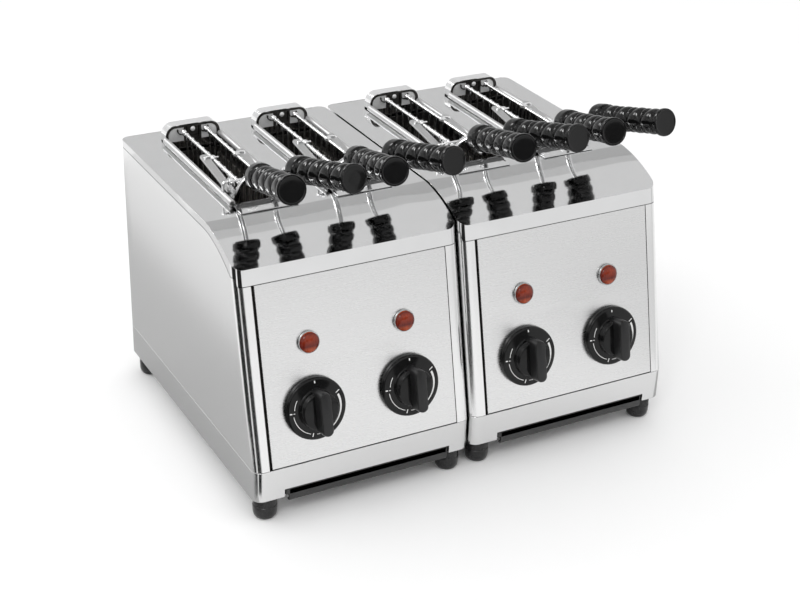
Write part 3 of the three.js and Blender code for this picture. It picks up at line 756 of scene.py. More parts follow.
def side_depths():
    """Depths of the cover's rows between its corners, closer on the curve."""
    start = front_at(CREASE_TOP) + CORNER * PAST_CORNER
    return [*sweep(start, FLAT_START - start, CURVE_STEPS), SLOT_FRONT - FRONT - FIT, SLOT_BACK - FRONT + FIT]


def right_edge():
    """Points of the outline's right half, front to back, as x and upright depth."""
    near = corner(HALF - CORNER, CORNER, CORNER, -pi / 2)
    between = [(HALF, outline_depth(y, cover_height(y))) for y in side_depths()]
    return [*near, *between, *corner(HALF - CORNER, DEPTH - CORNER, CORNER, 0)]


def hollow(low, high, sheet):
    """The corners of the space in a box of sheet, which is open at the top."""
    return low + Vector((sheet, sheet, sheet)), Vector((high.x - sheet, high.y - sheet, high.z + OVERRUN))


def make_base(side, x):
    low = Vector((x - HALF, FRONT, BASE_FOOT))
    high = Vector((x + HALF, FRONT + DEPTH, BODY_FOOT - SEAM))
    base = piece(f"base_pan_{side}", prism(low, high, CORNER), BASE_STEEL, [f"base_{side}"], edge=EDGE)
    cut(base, prism(*hollow(low, high, SHEET), CORNER - SHEET))
    tray_low, tray_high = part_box(f"crumb_tray_{side}")
    mouth_low = tray_low - Vector((FIT * 2, OVERRUN, OVERRUN))
    cut(base, Shape().box(mouth_low, (tray_high.x + FIT * 2, FRONT + SHEET * 2, tray_high.z + FIT)))
    ledge = Vector((TRAY_LEDGE, TRAY_LEDGE * 2, 0))
    hatch_low = Vector((tray_low.x, tray_low.y, BASE_FOOT - OVERRUN)) + ledge
    hatch_high = Vector((tray_high.x, tray_high.y, BASE_FOOT + SHEET * 2)) - ledge
    cut(base, Shape().box(hatch_low, hatch_high))


def make_tray(side):
    node = f"crumb_tray_{side}"
    low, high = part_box(node)
    pan_low = Vector((low.x, low.y, BASE_FOOT + TRAY_SHEET + FIT))
    pan = prism(pan_low, high, TRAY_SHEET * 2, TICK_STEPS)
    tray = piece(f"crumb_pan_{side}", pan, ENAMEL, [node], body=node, edge=EDGE / 2)
    cut(tray, prism(*hollow(pan_low, high, TRAY_SHEET), TRAY_SHEET, TICK_STEPS))
    front, foot = low.y, low.z
    radius = (high.z - foot) * LIP_ROLL_SHARE
    profile = [(front + TRAY_SHEET * 2, high.z), (front, high.z), (front, foot + radius)]
    profile += [(front + radius * 0.3, foot + radius * 0.3), (front + radius, foot)]
    profile += [(front + radius * 2, foot), (front + radius * 2, foot + TRAY_SHEET)]
    profile.append((front + TRAY_SHEET * 2, foot + TRAY_SHEET + radius))
    ends = (low.x + TRAY_LIP_INSET, high.x - TRAY_SHEET)
    lip = Shape().loft([[(x, y, z) for y, z in profile] for x in ends])
    piece(f"crumb_lip_{side}", lip, ENAMEL, body=node, edge=EDGE)


def make_body(side, x):
    right = [(HALF - PANEL_MARGIN, 0), *right_edge()]
    points = right + [(-px, depth) for px, depth in reversed(right)]
    foot = [leaned(px, depth, BODY_FOOT) for px, depth in points]
    top = [wall_top(px, depth, SEAM) for px, depth in points]
    wall = Shape().loft([foot, top], closed=False, caps=(False, False), pose=at((x, 0, 0)))
    thicken(piece(f"body_shell_{side}", wall, SIDE_STEEL, [f"body_{side}"]))
    across = HALF - SHEET * 2
    low = (x - across, FIT, -PANEL_SHEET * 3)
    high = (x + across, PANEL_LENGTH - FIT, -PANEL_SHEET * 2)
    # The flange is painted dark: it stands for the shade seen through the panel's seams.
    piece(f"body_flange_{side}", Shape().box(low, high, PANEL_POSE), HEATED_AND_SHADE_STEEL, edge=EDGE / 2)


def make_panel(side, x):
    low = (x - HALF + PANEL_MARGIN + PANEL_SEAM_LEFT, SEAM, -PANEL_SHEET)
    high = (x + HALF - PANEL_MARGIN - PANEL_SEAM_RIGHT, PANEL_LENGTH - SEAM, 0)
    sheet = Shape().box(low, high, PANEL_POSE)
    panel = piece(f"panel_sheet_{side}", sheet, PANEL_STEEL, [f"front_panel_{side}"], edge=EDGE / 2)
    holes = Shape()
    for n in SLOTS_OF[side]:
        for height, radius in ((KNOB_HEIGHT, SHAFT), (LAMP_HEIGHT, LAMP_BARREL)):
            holes.turned([(radius, -OVERRUN), (radius, OVERRUN)], pose=on_panel(n, height))
    cut(panel, holes)


def cover_faces(rows, shares, lines):
    """Faces between the rows of the cover's top, without those over the slots."""
    faces = []
    count = len(shares)
    for r, (low, high) in enumerate(zip(rows, rows[1:])):
        depth = (low.y + high.y) / 2
        beside = SLOT_FRONT - FIT < depth < SLOT_BACK + FIT
        for c in range(count - 1):
            middle = (shares[c] + shares[c + 1]) / 2 * HALF
            if not (beside and any(a < middle < b for a, b in zip(lines[::2], lines[1::2]))):
                a = r * count + c
                faces.append([a, a + 1, a + 1 + count, a + count])
    return faces


def make_cover(side, x):
    edge = right_edge()
    rows = [leaned(px, depth, settle(px, depth, CREASE_TOP, cover_height, COVER_TRIES)) for px, depth in edge]
    hole = FRAME_OUTER + FIT
    lines = sorted(SLOT_X[n] - x + turn * hole for n in SLOTS_OF[side] for turn in (-1, 1))
    marks = (-1, -COVER_LINE_SHARE, 0, COVER_LINE_SHARE, 1)
    shares = sorted({*marks, *[line / HALF for line in lines]})
    points = [Vector((row.x * share, row.y, row.z)) for row in rows for share in shares]
    faces = cover_faces(rows, shares, lines)
    # The rim: down from the top's border to the parting line.
    count, last = len(shares), (len(rows) - 1) * len(shares)
    border = [*range(count), *range(count * 2 - 1, last + count, count)]
    border += [*range(last + count - 2, last - 1, -1), *range(last - count, 0, -count)]
    foot = len(points)
    points += [wall_top(points[i].x, edge[i // count][1], 0) for i in border]
    for k, i in enumerate(border):
        after = (k + 1) % len(border)
        faces.append([i, foot + k, foot + after, border[after]])
    shell = Shape().add(points, faces, at((x, 0, 0)))
    thicken(piece(f"cover_shell_{side}", shell, POLISHED, [f"cover_{side}"], edge=COVER_EDGE, smooth=35))


def make_foot(n):
    low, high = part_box(f"foot_{n}")
    middle = (low + high) / 2
    profile = scaled(FOOT_PROFILE, FOOT_RADIUS, high.z)
    foot = Shape().turned(profile, pose=at((middle.x, middle.y, 0)))
    piece(f"turned_foot_{n}", foot, RUBBER, [f"foot_{n}"])


def make_gland():
    low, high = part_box("cord_gland")
    middle = (low + high) / 2
    profile = scaled(GLAND_PROFILE, (high.x - low.x) / 2, high.y - low.y)
    gland = Shape().turned(profile, pose=at((middle.x, low.y, middle.z), -pi / 2))
    piece("cord_bush", gland, RUBBER, ["cord_gland"])


def make_joining_plate():
    low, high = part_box("joining_plate")
    plate = prism(low, high, SHEET * 2, PLATE_STEPS)
    piece("join_plate", plate, SIDE_STEEL, ["joining_plate"], edge=EDGE / 2)
    middle, size = (low + high) / 2, high - low
    heads = Shape()
    for turn in (-1, 1):
        for away in (-1, 1):
            x = middle.x + turn * size.x * SCREW_SPREAD[0]
            y = middle.y + away * size.y * SCREW_SPREAD[1]
            heads.turned(scaled(SCREW_PROFILE, SCREW, SCREW), ROD_SIDES, at((x, y, low.z)))
    piece("join_screws", heads, WIRE_STEEL)


# Slots

def make_slot_frame(n):
    x = SLOT_X[n]
    front, back, bottom = SLOT_FRONT, SLOT_BACK, COVER_TOP - SKIRT_DEPTH
    liner = Shape()
    for turn in (-1, 1):
        inner, outer = sorted((turn * SLOT_INNER / 2, turn * FRAME_OUTER))
        liner.box((x + inner, front, bottom), (x + outer, back, SLOT_FOOT + FLANGE_SHEET))
    liner.box((x - FRAME_OUTER, back - SKIRT, bottom), (x + FRAME_OUTER, back, SLOT_FOOT))
    piece(f"slot_liner_{n}", liner, POLISHED, [f"slot_frame_{n}"])
    make_beads(n, x)
    make_roll(n, x)
    make_bracket(n, x)


def make_beads(n, x):
    start = SLOT_FRONT + ROLL + BEAD
    run = SLOT_BACK - HOOD_DEPTH - start
    bore = BEAD * BEAD_BORE_SHARE
    profile = [(0, BEAD * 2), (bore, BEAD * 2), (bore, BEAD * 0.2), (bore * 1.1, 0)]
    profile += [(BEAD * 0.94, 0), (BEAD, BEAD * 0.12), (BEAD, run), (0, run)]
    beads = Shape()
    for turn in (-1, 1):
        beads.turned(profile, EYE_SIDES, at((x + turn * BEAD_OFFSET, start, SLOT_FOOT + BEAD), -pi / 2))
    # The beads take the darker bead steel: painted shade.
    piece(f"slot_beads_{n}", beads, BEAD_SHADE_STEEL)


def make_roll(n, x):
    """The rolled front end of a slot and the flange before it."""
    left, right, front = x - FRAME_OUTER, x + FRAME_OUTER, SLOT_FRONT
    width, edge = FRAME_OUTER * 2, ROLL * ROLL_EDGE_SHARE
    half = [(0, 0), (ROLL * 0.95, 0), (ROLL, edge)]
    profile = [*half, *[(r, width - z) for r, z in half[::-1]]]
    pose = at((left, front + ROLL, COVER_TOP + BEAD + FIT - ROLL), pi / 2, "Y")
    # The roll takes the dark steel of the painted shade and reflection.
    piece(f"slot_roll_{n}", Shape().turned(profile, LAMP_SIDES, pose), SHADE_PAINTED_STEEL)
    flange = Shape().box((left, front - FLANGE, SLOT_FOOT), (right, front + ROLL, SLOT_FOOT + FLANGE_SHEET))
    piece(f"slot_flange_{n}", flange, POLISHED, edge=EDGE / 2)


def arch(half_width, height, radius):
    """An arch with rounded upper corners: across and up, from its right foot to its left."""
    x, z = half_width - radius, height - radius
    bends = [*corner(x, z, radius, 0, ARCH_STEPS), *corner(-x, z, radius, pi / 2, ARCH_STEPS)]
    return [(half_width, 0), *bends, (-half_width, 0)]


def add_arch(shape, x, size, thickness, depths):
    """An arched band: outer half width, height and corner, then thickness and both depths."""
    outer, inner = arch(*size), arch(*[part - thickness for part in size])
    section = outer + inner[::-1]
    rings = [[(x + px, y, SLOT_FOOT + pz) for px, pz in section] for y in depths]
    shape.loft(rings, caps=(False, False))
    last = len(section) - 1
    for ring, way in zip(rings, (1, -1)):
        shape.add(ring, [[i, i + 1, last - 1 - i, last - i][::way] for i in range(len(outer) - 1)])
    return inner


def make_bracket(n, x):
    """The hood at the back of a slot: band, ears, slit plate, cups and rivet."""
    height = HOOD_HEIGHT - FIT
    front, back = SLOT_BACK - HOOD_DEPTH, SLOT_BACK
    size = (FRAME_OUTER, height, height * HOOD_CORNER_SHARE)
    skin, band = Shape(), Shape()
    add_arch(skin, x, size, HOOD_SKIN, (front, back))
    # The hood's skin takes the near-white steel of the painted highlight.
    piece(f"bracket_hood_{n}", skin, HIGHLIGHT_PAINTED_STEEL)
    inner = add_arch(band, x, [part - HOOD_SKIN for part in size], HOOD_BAND, (front + HOOD_SKIN, back))
    # The band, and the plate below, take the dark steel: painted shade under the hood.
    piece(f"bracket_band_{n}", band, HEATED_AND_SHADE_STEEL)
    make_ears(n, x, inner, (front + HOOD_SHEET, back - HOOD_SHEET))
    near, peak, face = HOOD_PLATE / 2, inner[len(inner) // 2][1], front + HOOD_SHEET / 2
    plate = Shape().box((x - near, face, SLOT_FOOT), (x + near, back - HOOD_SHEET, SLOT_FOOT + peak))
    middle = piece(f"bracket_plate_{n}", plate, HEATED_AND_SHADE_STEEL, edge=EDGE / 2)
    low, high = [SLOT_FOOT + height * share for share in SLIT_SHARES]
    slits = Shape()
    for turn in (-1, 1):
        left, right = [x + turn * SLIT_OFFSET + side * SLIT / 2 for side in (-1, 1)]
        slits.box((left, front - OVERRUN, low), (right, front + HOOD_SHEET * 2, high))
    cut(middle, slits)
    for turn in (-1, 1):
        make_cup(f"rod_cup_{n}_{SIDE_OF[turn]}", x + turn * ROD_SPACING / 2, front + HOOD_SHEET)
    profile = dome(RIVET, RIVET * RIVET_HEIGHT_SHARE, BEND_STEPS)
    rivet = Shape().turned(profile, EYE_SIDES, at((x, face, ROD_TOP), pi / 2))
    # The rivet takes the lighter ear steel: painted light.
    piece(f"bracket_rivet_{n}", rivet, EAR_LIGHT_STEEL, smooth=50)


def make_ears(n, x, arched, depths):
    """The ears on both sides of a hood's plate, lightened with painted light."""
    near, peak = HOOD_PLATE / 2, arched[len(arched) // 2][1]
    ears = Shape()
    for turn in (-1, 1):
        first, last = [(turn * near, 0), (turn * near, peak)][::turn]
        section = [first, *[(px, pz) for px, pz in arched if px * turn >= near], last]
        ears.loft([[(x + px, y, SLOT_FOOT + pz) for px, pz in section] for y in depths])
    piece(f"bracket_ears_{n}", ears, EAR_LIGHT_STEEL, edge=EDGE / 2)


def make_cup(name, x, face):
    """The cup, open at the top, in which a rod's ball rests; its dark tone is painted shade."""
    inner = CUP - CUP_WALL
    section = [(inner, 0), (CUP, 0), (CUP, -CUP_DEPTH), (inner, -CUP_DEPTH)]
    rings = []
    for t in sweep(CUP_START, CUP_SPAN, CUP_STEPS):
        rings.append([(x + r * cos(t), face + y, ROD_TOP + r * sin(t)) for r, y in section])
    piece(name, Shape().loft(rings), HEATED_AND_SHADE_STEEL)


def make_cage(n):
    node = f"heater_cage_{n}"
    low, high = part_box(node)
    cage = piece(f"cage_box_{n}", Shape().box(low, high), HEATED_AND_SHADE_STEEL, [node])
    cut(cage, Shape().box(*hollow(low, high, CAGE_SHEET)))
    ledge = Vector((TRAY_LEDGE, TRAY_LEDGE, 0))
    drop_low = Vector((low.x, low.y, low.z - OVERRUN)) + ledge
    cut(cage, Shape().box(drop_low, Vector((high.x, high.y, low.z + OVERRUN)) - ledge))
    make_heaters(n, low, high)


def make_heaters(n, low, high):
    """Mica boards and heating wires on both walls of a cage."""
    x = (low.x + high.x) / 2
    half = (high.x - low.x) / 2 - CAGE_SHEET
    bottom, top = low.z + MICA_INSET, high.z - MICA_INSET
    run = high.y - low.y - MICA_INSET * 2
    count = int(run / HEAT_PITCH)
    boards, wires = Shape(), Shape()
    for turn in (-1, 1):
        face = x + turn * (half - MICA_SHEET)
        left, right = sorted((face, x + turn * half))
        boards.box((left, low.y + CAGE_SHEET * 2, bottom), (right, high.y - CAGE_SHEET * 2, top))
        wire_x = face - turn * HEAT_WIRE_RADIUS
        for k in range(count + 1):
            y = low.y + MICA_INSET + run * k / count
            wires.tube([(wire_x, y, bottom), (wire_x, y, top)], HEAT_WIRE_RADIUS, HEAT_SIDES)
    piece(f"mica_boards_{n}", boards, MICA, edge=EDGE / 3)
    piece(f"heating_wires_{n}", wires, HEAT_WIRE)


# Tongs

def make_bridge(n):
    """The bent bar across a slot, with the return spring wound on its middle."""
    x, y = SLOT_X[n], BAR_Y
    node = f"tong_bridge_{n}"
    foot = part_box(node)[0].z
    left, right = x - BEAD_OFFSET, x + BEAD_OFFSET
    bar = bent([(left, y, foot), (left, y, BAR_TOP), (right, y, BAR_TOP), (right, y, foot)], BAR_BEND)
    shape = Shape().tube(bar, BAR, ROD_SIDES)
    steps = SPRING_CURLS * CURL_STEPS
    coil = []
    for i in range(steps + 1):
        opened = min(1, min(i, steps - i) / (CURL_STEPS / 2))
        radius = BAR + (SPRING - BAR) * opened
        turn = tau * i / CURL_STEPS
        along = (i / steps - 0.5) * SPRING_CURLS * SPRING_PITCH
        coil.append((x + along, y + radius * cos(turn), BAR_TOP + radius * sin(turn)))
    shape.tube(coil, SPRING_WIRE, CLIP_SIDES)
    piece(f"bridge_wire_{n}", shape, WIRE_STEEL, [node], body=f"tong_{n}", smooth=50)


def handle_line(x, turn):
    """Where a handle's inner end is and which way it points."""
    start = Vector((x + turn * HANDLE_SPREAD, ROD_FRONT + FIT - HANDLE_REACH, COVER_TOP + HANDLE_CLIMB))
    flat = cos(HANDLE_RISE)
    way = Vector((turn * flat * sin(HANDLE_SPLAY), -flat * cos(HANDLE_SPLAY), sin(HANDLE_RISE)))
    return start, way


def make_jaw(n, turn):
    x, side = SLOT_X[n], SIDE_OF[turn]
    body = f"tong_{n}_{side}_jaw"
    rod_x = x + turn * ROD_SPACING / 2
    arm_x = x + turn * ARM_OFFSET
    end = (rod_x, ROD_BACK, ROD_TOP)
    rod = [end, (rod_x, ROD_FRONT, ROD_TOP), (arm_x, ROD_FRONT - STEM * 3, ROD_TOP)]
    shape = Shape().tube(bent(rod, ROD * 2), ROD, ROD_SIDES)
    shape.ball(end, BALL)
    add_grid(shape, rod_x, turn)
    add_clip(shape, rod_x, arm_x, turn)
    add_eye(shape, x, turn)
    add_stem(shape, x, turn)
    node = f"tong_jaw_{side}_{n}"
    piece(f"jaw_wires_{side}_{n}", shape, WIRE_STEEL, [node], body=body, smooth=45)
    # The flat arm climbs from the stem's root to the rod.
    pose = at((arm_x, ARM_FRONT, COVER_TOP), ARM_PITCH)
    flat = prism((-ARM_WIDTH / 2, 0, 0), (ARM_WIDTH / 2, ARM_LENGTH, ARM_SHEET), ARM_CORNER, DOME_STEPS)
    arm = Shape().add(flat.points, flat.faces, pose)
    piece(f"jaw_arm_{side}_{n}", arm, ARM_STEEL, body=body, edge=EDGE / 3)


def add_grid(shape, rod_x, turn):
    """Upright wires hung on the rod, with a rail at their foot and every second one bent in as a toe."""
    foot = ROD_TOP - GRID_DEPTH + WIRE
    rail = foot + WIRE * 2
    front, back = ROD_FRONT + FIT + WIRE, ROD_BACK - WIRE
    count = int((ROD_BACK - ROD_FRONT) / WIRE_PITCH)
    shape.tube([(rod_x, front, rail), (rod_x, back, rail)], WIRE, WIRE_SIDES)
    for i in range(count + 1):
        y = min(front + i * WIRE_PITCH, back)
        add_hook(shape, rod_x, y)
        path = [(rod_x, y, ROD_TOP), (rod_x, y, foot)]
        if i % 2:
            path = bent([*path, (rod_x - turn * TOE, y, foot)], WIRE * 2)
        shape.tube(path, WIRE, WIRE_SIDES)


def add_hook(shape, rod_x, y):
    """The end of an upright wire, bent once round the rod."""
    curl = ROD + WIRE * 0.1
    turns = sweep(0, tau, CURL_STEPS)
    path = [(rod_x + curl * cos(t), y, ROD_TOP + curl * sin(t)) for t in turns]
    shape.tube(path, WIRE * 0.5, HOOK_SIDES)


def add_clip(shape, rod_x, arm_x, turn):
    """A wire wound round the rod, with a peg inwards and a hook that holds the arm's rear end."""
    y = ROD_FRONT + CLIP_RUN
    curl = ROD + CLIP_WIRE - FIT
    steps = CLIP_CURLS * CURL_STEPS
    ring = []
    for k in range(steps + 1):
        angle = pi / 2 + tau * CLIP_CURLS * k / steps * -turn
        along = (k / steps - 0.5) * CLIP_CURLS * 2 * CLIP_WIRE
        ring.append((rod_x + curl * cos(angle), y + along, ROD_TOP + curl * sin(angle)))
    over = ROD_TOP + curl
    first, last = ring[0][1], ring[-1][1]
    peg = (rod_x - turn * CLIP_PEG, first + CLIP_WIRE, over - CLIP_WIRE / 2)
    bend = (arm_x - turn * CLIP_HOOK, last, over)
    far = (arm_x + turn * CLIP_HOOK, last - CLIP_WIRE, over)
    foot = (arm_x + turn * CLIP_HOOK * 1.4, last - CLIP_WIRE * 2, over - CLIP_WIRE * 2.4)
    hook = bent([ring[-1], bend, far, foot], CLIP_HOOK / 2, 4)[1:]
    shape.tube([peg, *ring, *hook], CLIP_WIRE, CLIP_SIDES)


def add_eye(shape, x, turn):
    """The eye that turns on the bar and the tab that stands on the arm."""
    middle, y = x + turn * EYE_OFFSET, BAR_Y
    low_x, high_x = middle - EYE_WIDTH / 2, middle + EYE_WIDTH / 2
    bore, ring, wide = BAR + FIT * 2, EYE * 0.95, EYE * 0.7
    half = [(bore, EYE_WIDTH * 0.1), (bore * 1.05, 0), (ring, 0), (EYE, EYE_WIDTH * 0.15)]
    profile = [*half, *[(r, EYE_WIDTH - z) for r, z in half[::-1]], half[0]]
    shape.turned(profile, EYE_SIDES, at((low_x, y, BAR_TOP), pi / 2, "Y"))
    arm_x = x + turn * ARM_OFFSET
    shape.box((low_x, y - wide, COVER_TOP), (high_x, y + wide, BAR_TOP - bore))
    shape.box((min(low_x, arm_x), y - wide, COVER_TOP), (max(high_x, arm_x), y + wide, ARM_TOP))


def add_stem(shape, x, turn):
    start, way = handle_line(x, turn)
    root = Vector((x + turn * ARM_OFFSET, ARM_FRONT, ARM_TOP - ARM_SHEET / 2))
    rise = root + Vector((0, -STEM * 2, STEM_RISE))
    lead = start - way * TANG
    path = []
    for t in sweep(0, 1, CURL_STEPS):
        near, far = root * (1 - t) ** 3 + rise * (3 * t * (1 - t) ** 2), start * t**3
        path.append(near + lead * (3 * t * t * (1 - t)) + far)
    shape.tube([*path, start + way * (TANG - FIT * 2)], STEM, STEM_SIDES)


def handle_radius(along, angle):
    """The handle's skin: a collar, then pillows between two families of tilted grooves."""
    place = along / ((HANDLE_LENGTH - HANDLE_CAP) / HANDLE_LOBES)
    top = HANDLE_RADIUS if place < 1 else HANDLE_LOBE
    lean = GROOVE_LEAN_SHARE * cos(angle) if GROOVE_START < place < GROOVE_END else 0
    nearest = min(abs((place + turn * lean + 0.5) % 1 - 0.5) for turn in (-1, 1))
    share = min(1, nearest / GROOVE_REACH_SHARE)
    return HANDLE_WAIST + (top - HANDLE_WAIST) * sqrt(1 - (1 - share) ** 2)


def make_handle(n, turn):
    side = SIDE_OF[turn]
    start, way = handle_line(SLOT_X[n], turn)
    ribbed = HANDLE_LENGTH - HANDLE_CAP
    turns = full_turn(HANDLE_SIDES)
    bore, lip = STEM + FIT, FIT * 3
    mouth = [(bore, TANG), (bore, FIT), (HANDLE_WAIST * 0.62, FIT), (HANDLE_WAIST * 0.86, lip)]
    rings = [[pair] * HANDLE_SIDES for pair in mouth]
    for k in range(1, HANDLE_STEPS + 1):
        along = lip + (ribbed - lip) * k / HANDLE_STEPS
        rings.append([(handle_radius(along, t), along) for t in turns])
    rings += [[(r, ribbed + z)] * HANDLE_SIDES for r, z in scaled(CAP_PROFILE, HANDLE_RADIUS, HANDLE_CAP)]
    across = way.cross(Vector((0, 0, 1))).normalized()
    up = across.cross(way)
    ways = [up * cos(t) + across * sin(t) for t in turns]
    grip = Shape().loft([[start + way * z + out * r for (r, z), out in zip(ring, ways)] for ring in rings])
    body, node = f"tong_{n}_{side}_jaw", f"tong_handle_{side}_{n}"
    piece(f"ribbed_grip_{side}_{n}", grip, BLACK, [node], body=body, smooth=38)


# Controls

def make_knob(n):
    node = f"knob_{n}"
    pose = on_panel(n, KNOB_HEIGHT, KNOB_GAP)
    rim, hub, edge, skirt, top = KNOB_RADIUS, KNOB_HUB, KNOB_EDGE, KNOB_SKIRT, KNOB_HUB_HEIGHT
    profile = [(0, 0), (rim, 0), (rim, skirt * 0.45), (rim - edge * 0.3, skirt * 0.66)]
    profile += [(rim - edge, skirt * 0.78), (rim - edge * 2, skirt - edge), (hub + edge, skirt)]
    profile += [(hub + edge * 0.4, skirt + edge * 0.2), (hub + edge * 0.1, skirt + edge * 0.7)]
    profile += [(hub - edge * 0.2, top - edge * 1.2), (hub - edge * 0.6, top - edge * 0.4)]
    profile += [(hub - edge * 1.6, top), (0, top)]
    turned = Shape().turned(profile, KNOB_SIDES, pose)
    piece(f"knob_skirt_{n}", turned, BLACK, [node], body=node, smooth=50)
    rings = []
    for share, grow in GRIP_RINGS:
        height = skirt / 2 + (GRIP_HEIGHT - skirt / 2) * share
        rings.append([(px * grow, py * (0.5 + grow / 2), height) for px, py in grip_plan()])
    piece(f"knob_grip_{n}", Shape().loft(rings, pose=pose), SATIN, body=node, smooth=45)
    make_marks(n, pose)


def grip_plan():
    """The grip seen from above: straight flanks and round ends."""
    half_width = GRIP_WIDTH / 2
    radius = half_width * GRIP_END_SHARE
    reach = GRIP_LENGTH / 2 - radius
    points = []
    for end, start in ((-1, pi), (1, 0)):
        turns = sweep(start, pi, ARCH_STEPS)
        points += [(half_width * cos(t), end * reach + radius * sin(t)) for t in turns]
    return points


def skirt_height(radius):
    inner, outer = KNOB_HUB + KNOB_EDGE, KNOB_RADIUS - KNOB_EDGE * 2
    return KNOB_SKIRT - KNOB_EDGE * (radius - inner) / (outer - inner)


def dial_arc(shape, start, end, radius, widths, pose, steps=ARC_STEPS):
    """A printed arc, clockwise from start to end in hours, whose width may change."""
    rings = []
    for share in sweep(0, 1, steps):
        angle = pi / 2 - tau * (start + (end - start) * share) / HOURS
        half = (widths[0] + (widths[1] - widths[0]) * share) / 2
        section = []
        for side, lift in ((-1, -1), (1, -1), (1, 1), (-1, 1)):
            r = radius + side * half
            section.append((r * cos(angle), r * sin(angle), skirt_height(r) + lift * PRINT_THICKNESS))
        rings.append(section)
    shape.loft(rings, pose=pose)


def make_marks(n, pose):
    marks = Shape()
    line, ring = MARK_LINE, MARK_RADIUS
    for hour, inner, outer, width in TICKS:
        length, radius = (outer - inner) * line, ring + (inner + outer) / 2 * line
        half_turn = width * line / (radius * 2) * HOURS / tau
        dial_arc(marks, hour - half_turn, hour + half_turn, radius, (length, length), pose, TICK_STEPS)
    for start, end, out, first, last in ARCS:
        dial_arc(marks, start, end, ring + line * out, (line * first, line * last), pose)
    piece(f"knob_marks_{n}", marks, PRINT, body=f"knob_{n}")


def make_timer(n):
    """The timer keeps its solid and gets the look of dark sheet."""
    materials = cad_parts[f"timer_{n}"].data.materials
    materials.clear()
    materials.append(HEATED_AND_SHADE_STEEL)


def make_lamp(n):
    pose = on_panel(n, LAMP_HEIGHT)
    barrel, ring, rim, outer = LAMP_BARREL - FIT, LAMP_LENS + FIT, LAMP_RIM, LAMP_RADIUS
    profile = [(0, -LAMP_BACK), (barrel, -LAMP_BACK), (barrel, FIT), (outer * 0.98, FIT), (outer, FIT * 2)]
    profile += [(outer, rim * 0.7), (outer * 0.97, rim), (ring, rim), (ring, rim * 0.5), (0, rim * 0.5)]
    bezel = Shape().turned(profile, LAMP_SIDES, pose)
    piece(f"lamp_bezel_{n}", bezel, BEZEL, [f"lamp_{n}"], smooth=35)
    profile = [(0, rim * 0.6), (LAMP_LENS, rim * 0.6), *dome(LAMP_LENS, LAMP_DOME, DOME_STEPS, rim)]
    piece(f"lamp_lens_{n}", Shape().turned(profile, LAMP_SIDES, pose), LENS, smooth=60)


# Everything on its body

for module_side, module_x in MODULE_X.items():
    make_base(module_side, module_x)
    make_tray(module_side)
    make_body(module_side, module_x)
    make_panel(module_side, module_x)
    make_cover(module_side, module_x)
for slot_n in SLOT_X:
    make_slot_frame(slot_n)
    make_cage(slot_n)
    make_bridge(slot_n)
    for hand in (-1, 1):
        make_jaw(slot_n, hand)
        make_handle(slot_n, hand)
    make_knob(slot_n)
    make_timer(slot_n)
    make_lamp(slot_n)
for foot_n in range(1, 9):
    make_foot(foot_n)
make_gland()
make_joining_plate()


# Floor, light and camera

def flat_mesh(name, points, faces, shade, roughness):
    mesh = new_mesh(name, points, faces)
    mesh.materials.append(shader(name, None, grey(shade), roughness=roughness, specular=0)[0])
    return place_new(name, mesh)


def make_floor():
    far = FLOOR_SIZE / 2
    points = [(-far, -far, 0), (far, -far, 0), (far, far, 0), (-far, far, 0)]
    flat_mesh("floor", points, [[0, 1, 2, 3]], FLOOR_SHADE, FLOOR_ROUGHNESS)


def make_world():
    """White to the camera and in reflections, and a plain level of light on everything else."""
    world = bpy.data.worlds.new("studio")
    scene.world = world
    world.use_nodes = True
    background = world.node_tree.nodes["Background"]
    fill(background, Color=(1, 1, 1, 1))
    path = add(world, "LightPath")
    seen = add(world, "Math", operation="MAXIMUM")
    seen_all = add(world, "Math", operation="MAXIMUM")
    level = add(world, "MapRange", To_Min=WORLD_LIGHT, To_Max=1)
    wire_up(
        world,
        (path, "Is Camera Ray", seen, 0),
        (path, "Is Glossy Ray", seen, 1),
        (seen, 0, seen_all, 0),
        (path, "Is Transmission Ray", seen_all, 1),
        (seen_all, 0, level, "Value"),
        (level, "Result", background, "Strength"),
    )


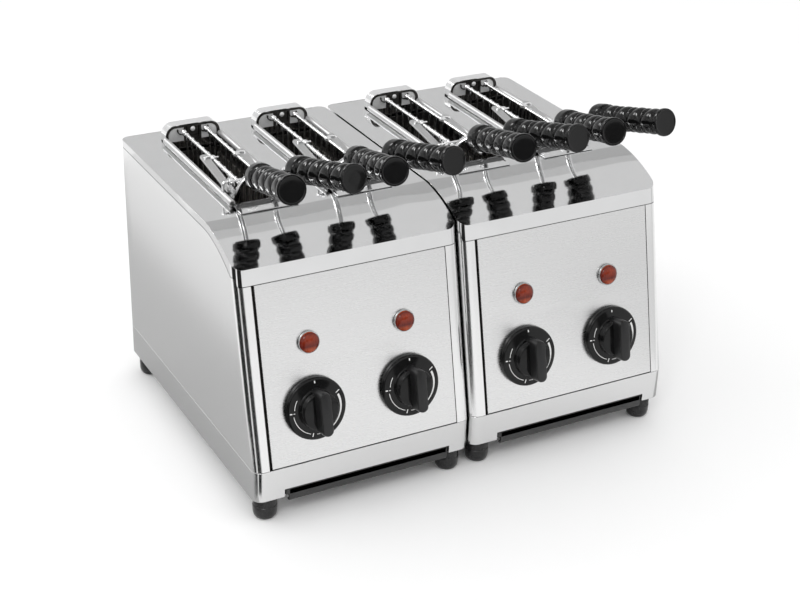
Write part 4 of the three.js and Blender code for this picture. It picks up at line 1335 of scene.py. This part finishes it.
def make_lamp_panel(name, place, size, power, plain):
    light = bpy.data.lights.new(name, "AREA")
    fill(light, shape="RECTANGLE", size=size[0], size_y=size[1], energy=power)
    aim = (Vector(LAMP_AIM) - Vector(place)).to_track_quat("-Z", "Y")
    made = place_new(name, light)
    fill(made, location=place, rotation_mode="QUATERNION", rotation_quaternion=aim)
    fill(made, visible_camera=False, visible_diffuse=plain)


def make_card(name, points, faces, shade):
    """A grey card that only reflections show."""
    card = flat_mesh(name, points, faces, shade, 1)
    fill(card, visible_camera=False, visible_diffuse=False, visible_shadow=False)


def card_points(corners):
    """All four corners of a card."""
    if len(corners) == 4:
        return corners
    (left, front, foot), (right, back, top) = corners
    return [(left, front, foot), (right, front, foot), (right, back, top), (left, back, top)]


def make_sector(name, start, end):
    """A card on the floor round a corner, which stands up at its far edge."""
    x, y, z = SECTOR_PLACE
    near, far = SECTOR_REACH
    points = []
    for angle in sweep(radians(start), radians(end - start), CURL_STEPS):
        for reach, height in ((near, z), (far, z), (far, SECTOR_HEIGHT)):
            points.append((x + reach * cos(angle), y + reach * sin(angle), height))
    starts = [k * 3 + i for k in range(CURL_STEPS) for i in (0, 1)]
    faces = [[a, a + 1, a + 4, a + 3] for a in starts]
    make_card(name, points, faces, SECTOR_SHADE)


def make_camera():
    camera = bpy.data.cameras.new("camera")
    fill(camera, sensor_width=CAMERA_SENSOR, lens=CAMERA_LENS)
    made = place_new("camera", camera)
    level, slope = cos(CAMERA_TILT), sin(CAMERA_TILT)
    right = Vector((cos(CAMERA_HEADING), -sin(CAMERA_HEADING), 0))
    forward = Vector((sin(CAMERA_HEADING) * level, cos(CAMERA_HEADING) * level, -slope))
    up = right.cross(forward)
    across = right * cos(CAMERA_ROLL) + up * sin(CAMERA_ROLL)
    upward = up * cos(CAMERA_ROLL) - right * sin(CAMERA_ROLL)
    turn = Matrix((across, upward, -forward)).transposed().to_4x4()
    made.matrix_world = Matrix.Translation(CAMERA_PLACE) @ turn
    scene.camera = made


make_floor()
make_world()
for lamp in LAMPS:
    make_lamp_panel(*lamp)
for card_name, card_corners, card_shade in CARDS:
    make_card(card_name, card_points(card_corners), [[0, 1, 2, 3]], card_shade)
for sector in SECTORS:
    make_sector(*sector)
make_camera()
scene.view_settings.view_transform = "Standard"
